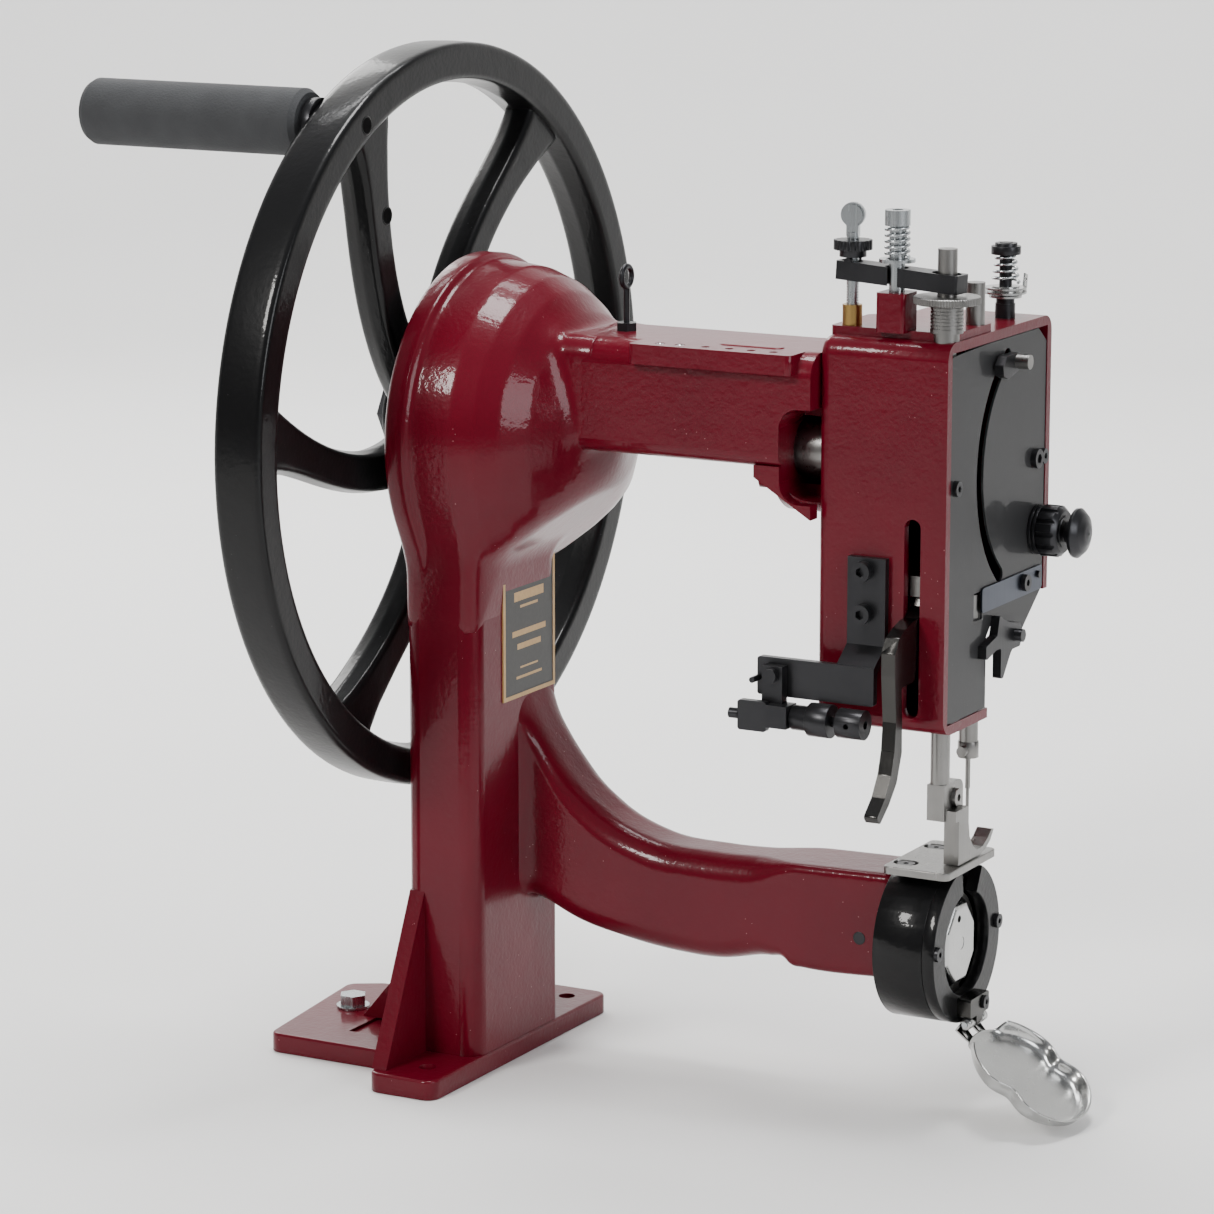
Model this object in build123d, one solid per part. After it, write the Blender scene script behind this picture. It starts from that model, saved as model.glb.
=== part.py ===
from build123d import *
import math
import os

# Hand-cranked leather stitching machine, in millimetres.
# X runs along the arms from the column to the head, Z is up, and the operator
# stands on the +Y side.  X = Y = 0 is the column's centre, Z = 0 the base's underside.

# driving dimensions
shaft_y = 28.0          # common plane of main shaft, arms, head and shuttle
shaft_z = 327.0         # main shaft height
shuttle_z = 86.5        # shuttle shaft height
base_t = 10.0           # base thickness
wheel_r = 190.5         # handwheel, 15 in across
wheel_rim = 21.0        # radial thickness of the rim
wheel_x0, wheel_x1 = -52.5, -26.5
grip_r = 16.8
head_x0, head_x1 = 189.0, 258.0
head_y0, head_y1 = 2.0, 126.0
head_z0, head_z1 = 195.0, 387.0
neck_y1 = 54.5          # +Y side of the narrow lower part of the head
neck_z = 248.0          # height where the head widens
wall = 5.0              # wall of the head casting
bar_x = 251.5           # presser bar and needle bar
presser_y = 13.9
needle_y = 46.9
bar_r = 4.75            # 3/8 in bars
plate_z = 128.7         # top of the needle plate
barrel_r = 39.6
barrel_x0, ring_x0, ring_x1 = 228.0, 254.5, 261.0
run_gap = 0.05          # running fit, radial

os.makedirs("parts", exist_ok=True)
made = []


def save(solid, name):
    """Write one sub-part to its own STEP file."""
    shape = solid if isinstance(solid, Compound) else Compound(children=[s for s in solid.solids()])
    if len(shape.solids()) == 1:
        shape = shape.solids()[0]
    export_step(shape, f"parts/{name}.step")
    made.append(name)


def block(x0, x1, y0, y1, z0, z1):
    """Box between six planes."""
    return Pos((x0 + x1) / 2, (y0 + y1) / 2, (z0 + z1) / 2) * Box(x1 - x0, y1 - y0, z1 - z0)


def rod_x(r, x0, x1, y, z):
    return Pos((x0 + x1) / 2, y, z) * Rot(0, 90, 0) * Cylinder(r, x1 - x0)


def rod_y(r, y0, y1, x, z):
    return Pos(x, (y0 + y1) / 2, z) * Rot(90, 0, 0) * Cylinder(r, y1 - y0)


def rod_z(r, z0, z1, x, y):
    return Pos(x, y, (z0 + z1) / 2) * Cylinder(r, z1 - z0)


def spun_x(profile, y, z):
    """Turn (x, radius) points about the X-wise line through (y, z)."""
    face = make_face(Polyline(*[(x, r) for x, r in profile], close=True))
    return Pos(0, y, z) * revolve(face, Axis.X)


def slab_yz(points, x0, x1):
    """Flat plate in the YZ plane with the (y, z) outline, from x0 to x1."""
    face = Plane.YZ.offset(x0) * make_face(Polyline(*points, close=True))
    return extrude(face, x1 - x0)


def slab_xy(points, z0, z1):
    return extrude(Plane.XY.offset(z0) * make_face(Polyline(*points, close=True)), z1 - z0)


def slab_xz(points, y0, y1):
    """Plate in the XZ plane; Plane.XZ looks along -Y, so it is extruded backwards."""
    return extrude(Plane.XZ.offset(-y0) * make_face(Polyline(*points, close=True)), -(y1 - y0))


def hex_x(across, x0, x1, y, z):
    face = Plane.YZ.offset(x0) * RegularPolygon(across / 2, 6, major_radius=False)
    return Pos(0, y, z) * extrude(face, x1 - x0)


def hex_z(across, z0, z1, x, y):
    return Pos(x, y, z0) * extrude(RegularPolygon(across / 2, 6, major_radius=False), z1 - z0)


def soften(solid, edges, radius):
    """Round the edges, or leave them sharp where the kernel can't."""
    for share in (1.0, 0.7, 0.45):
        try:
            done = fillet(edges, radius * share)
            if done.is_valid and done.volume > 0:
                return done
        except Exception:
            continue
    print("edge left sharp at radius", radius)
    return solid


def coil_z(radius, wire, z0, z1, turns, x, y):
    """Compression spring as a round wire along a helix, its ends kept between z0 and z1."""
    height = z1 - z0 - 2 * wire
    path = Pos(x, y, z0 + wire) * Helix(height / turns, height, radius)
    section = Plane(origin=path @ 0, z_dir=path % 0) * Circle(wire)
    return sweep(section, path=path, is_frenet=True)


# ---------------------------------------------------------------- frame castings

def base_plate():
    outline = [(22, -86), (22, 97), (-17, 97), (-17, 55), (-92, 55), (-109, 45), (-97, -52),
               (-30, -52), (-17, -60), (-17, -86)]
    plate = slab_xy(outline, 0, base_t)
    plate = soften(plate, plate.edges().filter_by(Axis.Z), 7)
    plate = soften(plate, plate.faces().sort_by(Axis.Z)[-1].edges(), 1.5)
    for x, y in bolt_spots:
        plate -= rod_z(bolt_hole_r, -1, base_t + 1, x, y)
    plate -= block(-62, -24, -30, 34, base_t - 1.6, base_t + 1)
    return plate


bolt_spots = [(6, -64), (6, 80), (-83, 8)]
bolt_hole_r = 4.4
col_x, col_y0, col_y1, col_z1 = 21.0, -41.0, 43.0, 262.0
rib_t = 8.5


def housing_solid(grow=0.0):
    """Bell behind the wheel: a flange ring, a step and a dome that falls to the arm."""
    r = 88.0 + grow
    profile = [(-20, 0), (-20, r - 3), (-17, r), (-9, r), (-6.5, r - 3), (-3, r - 3.5), (14, r - 5.5),
               (26, r - 10), (36, r - 17), (46, r - 29), (54, r - 44), (59, r - 52), (59, 0)]
    return spun_x(profile, shaft_y, shaft_z - 3)


slope = [(col_x, 262), (30, 268), (44, 281), (60, 297), (75, 312)]     # underside of the bell, (x, z)


def slope_cut(y1=44.0):
    """Room in front of the column's +X face, below the bell's sloping underside."""
    return slab_xz([(col_x, 225), (75, 225)] + slope[::-1], -65, y1)


def column():
    post = block(-col_x, col_x, col_y0, col_y1, base_t, col_z1)
    near = [e for e in post.edges().filter_by(Axis.Z) if e.center().Y < 0]
    far = [e for e in post.edges().filter_by(Axis.Z) if e.center().Y > 0]
    post = soften(post, near, 10)
    far = [e for e in post.edges().filter_by(Axis.Z) if e.center().Y > col_y1 - 1]
    post = soften(post, far, 3)
    hollow = block(-col_x + 6, col_x - 6, col_y0 + 7, col_y1 - 4, base_t + 8, col_z1 + 1)
    left, right = -17.5, -17.5 + rib_t
    ribs = slab_yz([(-80, base_t), (col_y0 + 9, base_t), (col_y0 + 9, 96), (col_y0, 94)], left, right)
    ribs += slab_yz([(90, base_t), (col_y1 - 5, base_t), (col_y1 - 5, 96), (col_y1, 94)], left, right)
    web = slab_xz([(-col_x + 1, base_t), (-col_x + 1, 70), (-70, base_t)], -3, 6)
    shape = post + ribs + web - hollow
    shape -= housing_solid() - slope_cut()
    shape -= lower_arm_solid()
    shape -= rod_x(7, 0, col_x + 1, shaft_y, shuttle_z)
    shape -= slab_xz([(-30, base_t - 1), (-30, base_t), (-64, base_t), (-64, base_t - 1)], -4, 7)
    return shape.solids().sort_by(SortBy.VOLUME)[-1]


def wheel_housing():
    bell = housing_solid()
    inner = [(-21, 0), (-21, 78), (10, 78), (22, 74), (32, 67), (42, 54), (50, 30), (50, 0)]
    bell -= spun_x(inner, shaft_y, shaft_z - 3)
    wall_back = [(x - 5, z + 5.5) for x, z in slope]
    floor = slab_xz([(col_x - 5, 225), (col_x, 225)] + slope + wall_back[::-1], -65, 50)
    bell += floor & housing_solid()
    bell += (slope_cut(50.0) - slope_cut()) & housing_solid()
    bell -= slope_cut()
    bell -= rod_x(13, 40, 70, shaft_y, shaft_z)
    bell -= block(-col_x, col_x, col_y0 + 7, col_y1 - 4, 200, 262)
    bell -= arm_hollow()
    return bell.solids().sort_by(SortBy.VOLUME)[-1]


arm_y0, arm_y1, arm_z0, arm_z1 = -6.0, 62.0, 321.0, 378.0
pad_y0 = -12.0


def arm_hollow():
    return block(64, 166, arm_y0 + 8, arm_y1 - 8, 300, arm_z1 - 11)


def upper_arm():
    """Upside-down channel with the pad on its top edge and the shaft bearing at its head end."""
    arm = block(50, head_x0, arm_y0, arm_y1, arm_z0, arm_z1)
    long_edges = arm.edges().filter_by(Axis.X)
    arm = soften(arm, [e for e in long_edges if e.center().Z < arm_z0 + 1], 7)
    arm = soften(arm, [e for e in arm.edges().filter_by(Axis.X) if e.center().Z > arm_z1 - 1], 12)
    pad = block(92, 181, pad_y0, 24, arm_z1 - 10, arm_z1)
    pad = soften(pad, pad.edges().filter_by(Axis.Z), 3)
    boss = rod_x(31, 158, head_x0, shaft_y, shaft_z)
    web = slab_xz([(158, 316), (head_x0, 297), (head_x0, 322), (158, 322)], shaft_y - 33, shaft_y - 25)
    arm = arm + pad + boss + web
    arm -= block(50, 166, arm_y0 + 8, arm_y1 - 8, 280, arm_z1 - 11)
    arm -= rod_x(18, 160, head_x0 + 1, shaft_y, shaft_z)
    window = block(172, head_x0 + 1, arm_y0 - 4, shaft_y - 6, shaft_z - 23, shaft_z + 24)
    window = soften(window, [e for e in window.edges().filter_by(Axis.Y) if e.center().X < 173], 10)
    arm -= window
    arm -= housing_solid()
    arm += rod_x(18, 160, 171, shaft_y, shaft_z) - rod_x(bush_r, 150, 180, shaft_y, shaft_z)
    for x, y in pad_screw_spots:
        arm -= rod_z(2.6, arm_z1 - 9, arm_z1 + 1, x, y)
    for x in (131, 144, 156, 168):
        arm -= rod_z(2.2, arm_z1 - 9, arm_z1 + 1, x, -4)
    arm -= rod_z(3.0, arm_z1 - 20, arm_z1 + 1, eye_x, shaft_y)
    return arm.solids().sort_by(SortBy.VOLUME)[-1]


pad_screw_spots = [(106, -4), (117, -4)]
bush_r = 15.0
eye_x = 70.0
arm_half = 21.0


def lower_arm_solid():
    """Side outline of the lower arm: it sweeps out of the column, then runs level to the barrel."""
    top = Spline((col_x - 1, 188), (41, 150), (90, 120), (165, 120.5), (barrel_x0, 121.5))
    low = Spline((barrel_x0, 69), (172, 71.5), (131, 63.5), (76, 67), (col_x - 1, 88))
    end = Line((barrel_x0, 121.5), (barrel_x0, 69))
    root = Line((col_x - 1, 88), (col_x - 1, 188))
    face = make_face([top, end, low, root])
    arm = extrude(Plane.XZ.offset(-(shaft_y - arm_half)) * face, -2 * arm_half)
    long_edges = [e for e in arm.edges() if e.length > 150]
    return soften(arm, long_edges, 9)


def lower_arm():
    arm = lower_arm_solid()
    arm -= rod_x(8, -30, 300, shaft_y, shuttle_z)
    arm -= rod_y(2.6, 0, 16, 212, shuttle_z + 1)
    return arm.solids().sort_by(SortBy.VOLUME)[-1]


def head_casing():
    """Open-fronted box: wide where the thread lever swings, narrow round the two bars."""
    outer = slab_yz([(head_y0, head_z0), (neck_y1, head_z0), (neck_y1, neck_z), (head_y1, neck_z),
                     (head_y1, head_z1), (head_y0, head_z1)], head_x0, head_x1)
    along = outer.edges().filter_by(Axis.X)
    outer = soften(outer, [e for e in along if e.center().Y < head_y0 + 1], 9)
    outer = soften(outer, [e for e in outer.edges().filter_by(Axis.X) if e.center().Y > head_y1 - 1
                           and e.center().Z > head_z1 - 1], 8)
    back = [e for e in outer.edges().filter_by(Axis.Z) if e.center().X < head_x0 + 1
            and e.center().Y < head_y0 + 3]
    outer = soften(outer, back, 6)
    inner = slab_yz([(head_y0 + wall, head_z0 + wall), (neck_y1 + 1, head_z0 + wall),
                     (neck_y1 + 1, neck_z + wall), (head_y1 - wall, neck_z + wall),
                     (head_y1 - wall, head_z1 - wall), (head_y0 + wall, head_z1 - wall)],
                    head_x0 + wall, head_x1 + 1)
    rib = slab_yz([(neck_y1 - 3, head_z0 + 1), (neck_y1, head_z0 + 1), (neck_y1, neck_z + 3),
                   (neck_y1 - 3, neck_z + 3)], head_x0 + 1, head_x1 - 20)
    raised = block(head_x0 + 2, head_x1 - 1, head_y0 + 9, 56, head_z1 - 4, roof_z)
    raised = soften(raised, raised.edges().filter_by(Axis.Z), 3)
    box = outer + raised - inner + rib + plate_lug() + regulator_post()
    box -= rod_x(bush_r, head_x0 - 1, head_x0 + wall + 1, shaft_y, shaft_z)
    box -= block(face_x0, head_x1 + 1, neck_y1, head_y1 - wall, neck_z - 1, neck_z + wall + 1)
    box -= rod_z(spigot_r, head_z1 - wall - 3, roof_z + 1, bar_x, presser_y)
    box -= rod_z(bar_r + run_gap, head_z1 - wall - 3, roof_z + 1, bar_x, needle_y)
    for y in (presser_y, needle_y):
        box -= rod_z(bar_r + run_gap, head_z0 - 1, head_z0 + wall + 1, bar_x, y)
    slot = block(lever_x - 4.3, lever_x + 4.3, head_y0 - 1, head_y0 + wall + 1, 203, 301)
    box -= soften(slot, slot.edges().filter_by(Axis.Y), 4.2)
    for z in guide_screw_z:
        box -= rod_y(3.0, head_y0 - 1, head_y0 + wall + 1, guide_screw_x, z)
    box -= rod_z(3.2, head_z1 - wall - 1, head_z1 + 1, stud_x, stud_y)
    box -= rod_z(3.9, 395, 410, post_x, presser_y)
    box -= rod_z(4.0, head_z1 - wall - 1, roof_z + 1, thumb_x, thumb_y)
    return box.solids().sort_by(SortBy.VOLUME)[-1]


roof_z = 391.0
spigot_r = 6.2
lever_x = 240.5
guide_screw_x, guide_screw_z = 217.0, (253.5, 274.5)
stud_x, stud_y = 243.0, 102.0
post_x = 225.0
thumb_x, thumb_y = 200.0, 17.0


# ---------------------------------------------------------------- face plate and thread parts

face_x0, face_x1 = 256.4, 257.6
pivot_y, pivot_z, slot_r = 108.0, 316.5, 66.0
bar_flat_x = 253.2      # flat milled on the needle bar so that the take-up lever can pass
take_up_top, take_up_bottom = 125.0, 232.0      # slot ends, degrees round the pivot from +Y


def round_pivot(radius, degrees):
    a = math.radians(degrees)
    return pivot_y + radius * math.cos(a), pivot_z + radius * math.sin(a)


def arc_slab(r_in, r_out, a0, a1, x0, x1, steps=24):
    """Flat ring sector round the take-up pivot."""
    angles = [a0 + (a1 - a0) * i / steps for i in range(steps + 1)]
    points = [round_pivot(r_out, a) for a in angles] + [round_pivot(r_in, a) for a in reversed(angles)]
    return slab_yz(points, x0, x1)


def face_plate():
    y0, y1 = head_y0 + wall + 0.3, head_y1 - wall - 0.3
    outline = [(y0, 201), (y0, 380), (18, 380.5), (48, 381.5), (y1 - 10, 381.5), (y1, 374), (y1, 250),
               (71, 213), (66, 236), (61, 244), (52.5, 236), (52.5, 200.4), (y0 + 6, 200.4)]
    plate = slab_yz(outline, face_x0, face_x1)
    plate -= arc_slab(slot_r - 4, slot_r + 4, take_up_top - 3, take_up_bottom, face_x0 - 1, face_x1 + 1)
    for a in (take_up_top - 3, take_up_bottom):
        y, z = round_pivot(slot_r, a)
        plate -= rod_x(4, face_x0 - 1, face_x1 + 1, y, z)
    plate -= block(face_x0 - 1, face_x1 + 1, 37, 47, 246, 260)
    for y, z in plate_screw_spots:
        plate -= rod_x(2.1, face_x0 - 1, face_x1 + 1, y, z)
    plate -= rod_x(4.05, face_x0 - 1, face_x1 + 1, pivot_y, pivot_z)
    plate -= rod_x(3.1, face_x0 - 1, face_x1 + 1, knob_y, knob_z)
    plate -= rod_x(2.1, face_x0 - 1, face_x1 + 1, 96, 255.6)
    return plate.solids().sort_by(SortBy.VOLUME)[-1]


plate_screw_spots = [(13.1, 315.8), (117.0, 316.5)]
knob_y, knob_z = 112.0, 280.0


def button_screw(radius, shank, x_head, reach, y, z, height=2.4):
    """Button-head socket screw along X: head outside, shank inwards."""
    screw = rod_x(radius, x_head, x_head + height, y, z) + rod_x(shank, x_head - reach, x_head, y, z)
    screw -= hex_x(radius * 0.75, x_head + height * 0.4, x_head + height + 1, y, z)
    return screw


def face_plate_screws():
    """Plate screws, the leaf's screw and pin, and the shoulder screw that the take-up lever turns on."""
    group = [button_screw(3.8, 2.0, face_x1, face_x1 - face_x0, y, z) for y, z in plate_screw_spots]
    group.append(button_screw(4.2, 2.0, face_x1 + 1.0, 2.2, 96, 255.6, 2.2))
    group.append(rod_x(1.8, face_x1 + 1.0, face_x1 + 2.2, 113, 257))
    shoulder = rod_x(4.0, 244, face_x1, pivot_y, pivot_z) + rod_x(4.9, face_x1, face_x1 + 3, pivot_y, pivot_z)
    group.append(shoulder - hex_x(4.5, face_x1 + 1.2, face_x1 + 4, pivot_y, pivot_z))
    return Compound(children=group)


def plate_lug():
    """Lug on the head's +Y wall that backs the face plate beside the take-up pivot."""
    return block(head_x1 - 16, face_x0, 115, head_y1 - wall + 1, 310, 323)


def regulator_post():
    """Square post of the head casting that the spring screw goes into."""
    post = block(post_x - 7.7, post_x + 7.7, presser_y - 8, presser_y + 8, roof_z - 1, 409.0)
    return soften(post, post.edges().filter_by(Axis.Z), 2)


def thread_spring():
    """Blued leaf that nips the thread, held by one screw and a pin."""
    leaf = block(face_x1, face_x1 + 1.0, 45, 118, 249, 261.3)
    leaf = soften(leaf, leaf.edges().filter_by(Axis.X), 2)
    leaf -= rod_x(2.05, face_x1 - 1, face_x1 + 2, 96, 255.6)
    return leaf


def thread_hook():
    """Black hooked finger low on the face plate; the thread runs under it."""
    arm = slab_yz([(43, 233), (56, 236), (59, 246), (64, 243), (72, 240), (84, 238), (88, 232), (84, 226),
                   (74, 226), (64, 213.5), (61, 213.5), (61, 229), (55, 229), (43, 226)], face_x1, face_x1 + 4.5)
    arm = soften(arm, arm.edges().filter_by(Axis.X), 1.2)
    return arm + rod_x(3.2, face_x1 + 4, face_x1 + 8.5, 79, 232.5)


def take_up_lever():
    """Lever inside the head; its lug and steel eye come out through the curved slot."""
    a = take_up_top
    inside = bar_flat_x + 0.3
    y, z = round_pivot(slot_r, a)
    boss = rod_x(6.5, 249, face_x0 - 0.3, pivot_y, pivot_z)
    along = math.radians(a)
    side = (-math.sin(along) * 4.5, math.cos(along) * 4.5)
    bar = slab_yz([(pivot_y + side[0], pivot_z + side[1]), (y + side[0], z + side[1]),
                   (y - side[0], z - side[1]), (pivot_y - side[0], pivot_z - side[1])], inside, face_x0 - 0.4)
    neck = rod_x(3.4, inside, face_x1 + 5, y, z)
    lug_y, lug_z = y - 9, z - 1.5
    lug = slab_yz([(y + 5, z + 4), (lug_y - 2, lug_z + 5.5), (lug_y - 7, lug_z + 1), (lug_y - 6, lug_z - 4),
                   (lug_y, lug_z - 6), (y + 4, z - 4.5)], face_x1 + 1.3, face_x1 + 6)
    lug = soften(lug, lug.edges().filter_by(Axis.X), 1.5)
    lever = boss + bar + neck + lug
    return lever - rod_x(4.0 + run_gap, 248, face_x0 + 1, pivot_y, pivot_z)


def take_up_eye():
    y, z = round_pivot(slot_r, take_up_top)
    eye = rod_x(3.6, face_x1 + 6, face_x1 + 13, y + 1, z)
    return eye - rod_z(1.1, z - 6, z + 6, face_x1 + 10.2, y + 1)


def tension_post():
    """Fixed disc pair and fluted body of the side tension."""
    x = head_x1 + 0.1
    post = rod_x(3.0, 250, 282, knob_y, knob_z) + rod_x(8.0, face_x1, x + 15.5, knob_y, knob_z)
    for gap in (0.0, 2.2):
        post += rod_x(12.5, x + gap, x + gap + 1.6, knob_y, knob_z)
    body = spun_x([(x + 4.3, 0), (x + 4.3, 13), (x + 12.6, 13), (x + 15.1, 10.5), (x + 15.1, 0)], knob_y, knob_z)
    for i in range(12):
        a = math.radians(30 * i)
        body -= rod_x(1.4, x + 4, x + 16, knob_y + 13.2 * math.cos(a), knob_z + 13.2 * math.sin(a))
    return post + body


def tension_knob():
    """Mushroom nut that is turned to set the thread tension."""
    x = face_x1 + 17.0
    cap = spun_x([(x, 0), (x, 5.5), (x + 4, 5.5), (x + 4.6, 12.4), (x + 6.2, 12.6), (x + 9.2, 9.8),
                  (x + 11.2, 5), (x + 11.8, 0)], knob_y, knob_z)
    return cap - rod_x(3.0 + run_gap, x - 1, 282.2, knob_y, knob_z)


def thread_eye():
    """Screw eye on the arm's root: ring, stem and its lock nut."""
    ring = Pos(eye_x, shaft_y, arm_z1 + 27) * Rot(0, 90, 0) * Torus(5.2, 1.35)
    stem = rod_z(1.5, arm_z1 - 8, arm_z1 + 21, eye_x, shaft_y)
    nut = hex_z(9.5, arm_z1, arm_z1 + 4, eye_x, shaft_y)
    return ring + stem + nut


def name_plate():
    """Plain plate on the column's +X face, its raised border left by a shallow field."""
    field = block(col_x + 0.6, col_x + 1, -10.6, 37.4, 192.2, 257.9)
    return block(col_x, col_x + 0.8, -13, 39.8, 189.8, 260.3) - field


# ---------------------------------------------------------------- main shaft and handwheel

spoke_count = 6
hub_r = 27.0
handle_r = wheel_r - 11.0
handle_angle = math.atan2(484.0 - shaft_z, -60.9 - shaft_y)
handle_y = shaft_y + handle_r * math.cos(handle_angle)
handle_z = shaft_z + handle_r * math.sin(handle_angle)


def wheel_spoke(turn):
    """Curved spoke, wide at the rim and sweeping back as it nears the hub."""
    def side(offset, lean):
        points = []
        for i in range(9):
            t = i / 8
            radius = hub_r - 3 + (wheel_r - wheel_rim + 3 - hub_r + 3) * t
            bend = turn + math.radians(34) * (1 - t) ** 1.4 * lean
            width = offset * (1.0 + 0.9 * t ** 6 + 0.35 * (1 - t) ** 4)
            points.append((radius * math.cos(bend) - width * math.sin(bend),
                           radius * math.sin(bend) + width * math.cos(bend)))
        return points
    left = side(10.5, 1)
    right = side(-10.5, 1)
    edge = Spline(*left)
    back = Spline(*reversed(right))
    face = make_face([edge, Line(left[-1], right[-1]), back, Line(right[0], left[0])])
    return face


def handwheel():
    """Six-spoke cast wheel; rim and spokes are thicker at the parting line than at their faces."""
    mid = (wheel_x0 + wheel_x1) / 2
    half = (wheel_x1 - wheel_x0) / 2
    inner = wheel_r - wheel_rim
    rim = spun_x([(wheel_x0, inner + 2), (wheel_x0, wheel_r - 2), (wheel_x0 + 2, wheel_r),
                  (wheel_x1 - 2, wheel_r), (wheel_x1, wheel_r - 2), (wheel_x1, inner + 2), (mid, inner)], shaft_y, shaft_z)
    hub = rod_x(hub_r, wheel_x0 - 6, wheel_x1, shaft_y, shaft_z)
    wheel = rim + hub
    for k in range(spoke_count):
        face = wheel_spoke(handle_angle + math.radians(-4) + 2 * math.pi * k / spoke_count)
        arm = extrude(Plane.YZ.offset(mid - half + 4.5) * face, 2 * half - 9)
        arm = Pos(0, shaft_y, shaft_z) * arm
        wheel += arm
    wheel -= rod_x(8.0, wheel_x0 - 10, wheel_x1 + 1, shaft_y, shaft_z)
    wheel -= rod_x(4.0, wheel_x0 - 1, wheel_x1 + 1, handle_y, handle_z)
    wheel -= rod_x(4.0, wheel_x0 - 1, wheel_x1 + 1, spare_y, spare_z)
    return wheel.solids().sort_by(SortBy.VOLUME)[-1]


spare_r = 126.0
spare_y = shaft_y + spare_r * math.cos(handle_angle + math.radians(0.5))
spare_z = shaft_z + spare_r * math.sin(handle_angle + math.radians(0.5))
crank_x0, crank_x1 = 222.0, 230.0
crank_pin_r = 16.5
crank_pin_z = 6.5
crank_pin_y = math.sqrt(crank_pin_r ** 2 - crank_pin_z ** 2)
cam_x0, cam_x1 = -13.0, -5.0
cam_throw = 12.4        # groove's offset: lifts the rack 24.8 mm in a turn
roller_z = shaft_z - 24.1


def main_shaft():
    return rod_x(8.0, wheel_x0 - 14, crank_x1 - 2, shaft_y, shaft_z)


def needle_crank():
    """Crank disc on the shaft's head end, with the pin that works the needle bar's yoke."""
    disc = rod_x(20.3, crank_x0, crank_x1, shaft_y, shaft_z)
    disc += rod_x(3.5, crank_x1 - 1, crank_x1 + 7, shaft_y + crank_pin_y, shaft_z + crank_pin_z)
    return disc - rod_x(8.0, crank_x0 - 1, crank_x1 - 2, shaft_y, shaft_z)


def shuttle_cam():
    """Face cam in the housing; its off-centre groove drives the rack to the shuttle."""
    disc = rod_x(50, cam_x0, cam_x1, shaft_y, shaft_z)
    angle = math.radians(10.3)
    cy, cz = shaft_y + cam_throw * math.cos(angle), shaft_z + cam_throw * math.sin(angle)
    groove = rod_x(34, cam_x1 - 4, cam_x1 + 1, cy, cz) - rod_x(24, cam_x1 - 5, cam_x1 + 2, cy, cz)
    return disc - groove - rod_x(8.0, cam_x0 - 1, cam_x1 + 1, shaft_y, shaft_z)


def shaft_cams():
    """Needle crank and shuttle cam, both keyed to the main shaft."""
    return Compound(children=[needle_crank(), shuttle_cam()])


def main_bush(x0, x1, outer):
    return rod_x(outer, x0, x1, shaft_y, shaft_z) - rod_x(8.0 + run_gap, x0 - 1, x1 + 1, shaft_y, shaft_z)


def shuttle_bush(x0, x1):
    sleeve = rod_x(8.0, x0, x1, shaft_y, shuttle_z)
    return sleeve - rod_x(6.0 + run_gap, x0 - 1, x1 + 1, shaft_y, shuttle_z)


def bushes():
    """Bearings: two bushes for the main shaft and two for the shuttle shaft."""
    rear = main_bush(-24, -13.5, 13)
    root = main_bush(44, 66, 13)
    front = main_bush(160, head_x0 + wall + 1, bush_r)
    return Compound(children=[rear, root, front, shuttle_bush(24, 50), shuttle_bush(205, barrel_x0 + 8)])


def housing_cover():
    """Thin disc that closes the housing on the wheel side; the rear bush sits in its boss."""
    disc = rod_x(78, -19.5, -16, shaft_y, shaft_z - 3)
    return disc - rod_x(13, -25, -10, shaft_y, shaft_z)


def wheel_fasteners():
    """Handle bolt through the rim with its washer, and the nut that holds the wheel on the shaft."""
    bolt = rod_x(4.0, -181, wheel_x1 - 2, handle_y, handle_z)
    bolt += rod_x(7.0, -184.5, -181, handle_y, handle_z)
    washer = rod_x(12.5, wheel_x0 - 4.5, wheel_x0, handle_y, handle_z)
    washer -= rod_x(4.0, wheel_x0 - 5, wheel_x0 + 1, handle_y, handle_z)
    nut = hex_x(24, wheel_x0 - 16, wheel_x0 - 6.0, shaft_y, shaft_z)
    nut -= rod_x(8.0, wheel_x0 - 17, wheel_x0 - 5, shaft_y, shaft_z)
    return Compound(children=[bolt, washer, nut])


def handle_grip():
    x0, x1 = -188.0, wheel_x0 - 6.5
    sleeve = spun_x([(x0, 0), (x0, grip_r - 4), (x0 + 1.2, grip_r - 1.5), (x0 + 4, grip_r), (x1 - 3, grip_r),
                     (x1, grip_r - 2), (x1, 0)], handle_y, handle_z)
    sleeve -= rod_x(4.0 + run_gap, -182, x1 + 1, handle_y, handle_z)
    return sleeve - rod_x(7.0 + run_gap, -184.9, -180.9, handle_y, handle_z)


# ---------------------------------------------------------------- needle bar

yoke_x0, yoke_x1 = 238.0, 245.0


def needle_bar():
    flat = block(bar_flat_x, 260, needle_y - 6, needle_y + 6, 258, 387)
    return rod_z(bar_r, 184, 411.5, bar_x, needle_y) - flat


def needle_yoke():
    """Cross-slide clamped on the needle bar; the crank pin works in its level slot."""
    z = shaft_z + crank_pin_z
    plate = block(yoke_x0, yoke_x1, shaft_y - 21, shaft_y + 21.5, z - 8, z + 8)
    slot = block(yoke_x0 - 1, yoke_x1 + 1, shaft_y - 17, shaft_y + 17, z - 3.8, z + 3.8)
    clamp = block(yoke_x1 - 0.5, bar_flat_x, needle_y - 7.5, needle_y + 7.0, z - 8, z + 8)
    return plate + clamp - slot - rod_z(bar_r, z - 20, z + 20, bar_x, needle_y)


def needle_clamp():
    clamp = rod_z(5.2, 176, 184, bar_x, needle_y) + rod_y(2.6, needle_y - 8.5, needle_y, bar_x, 180)
    return clamp - rod_z(1.25, 175, 185, bar_x, needle_y)


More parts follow.
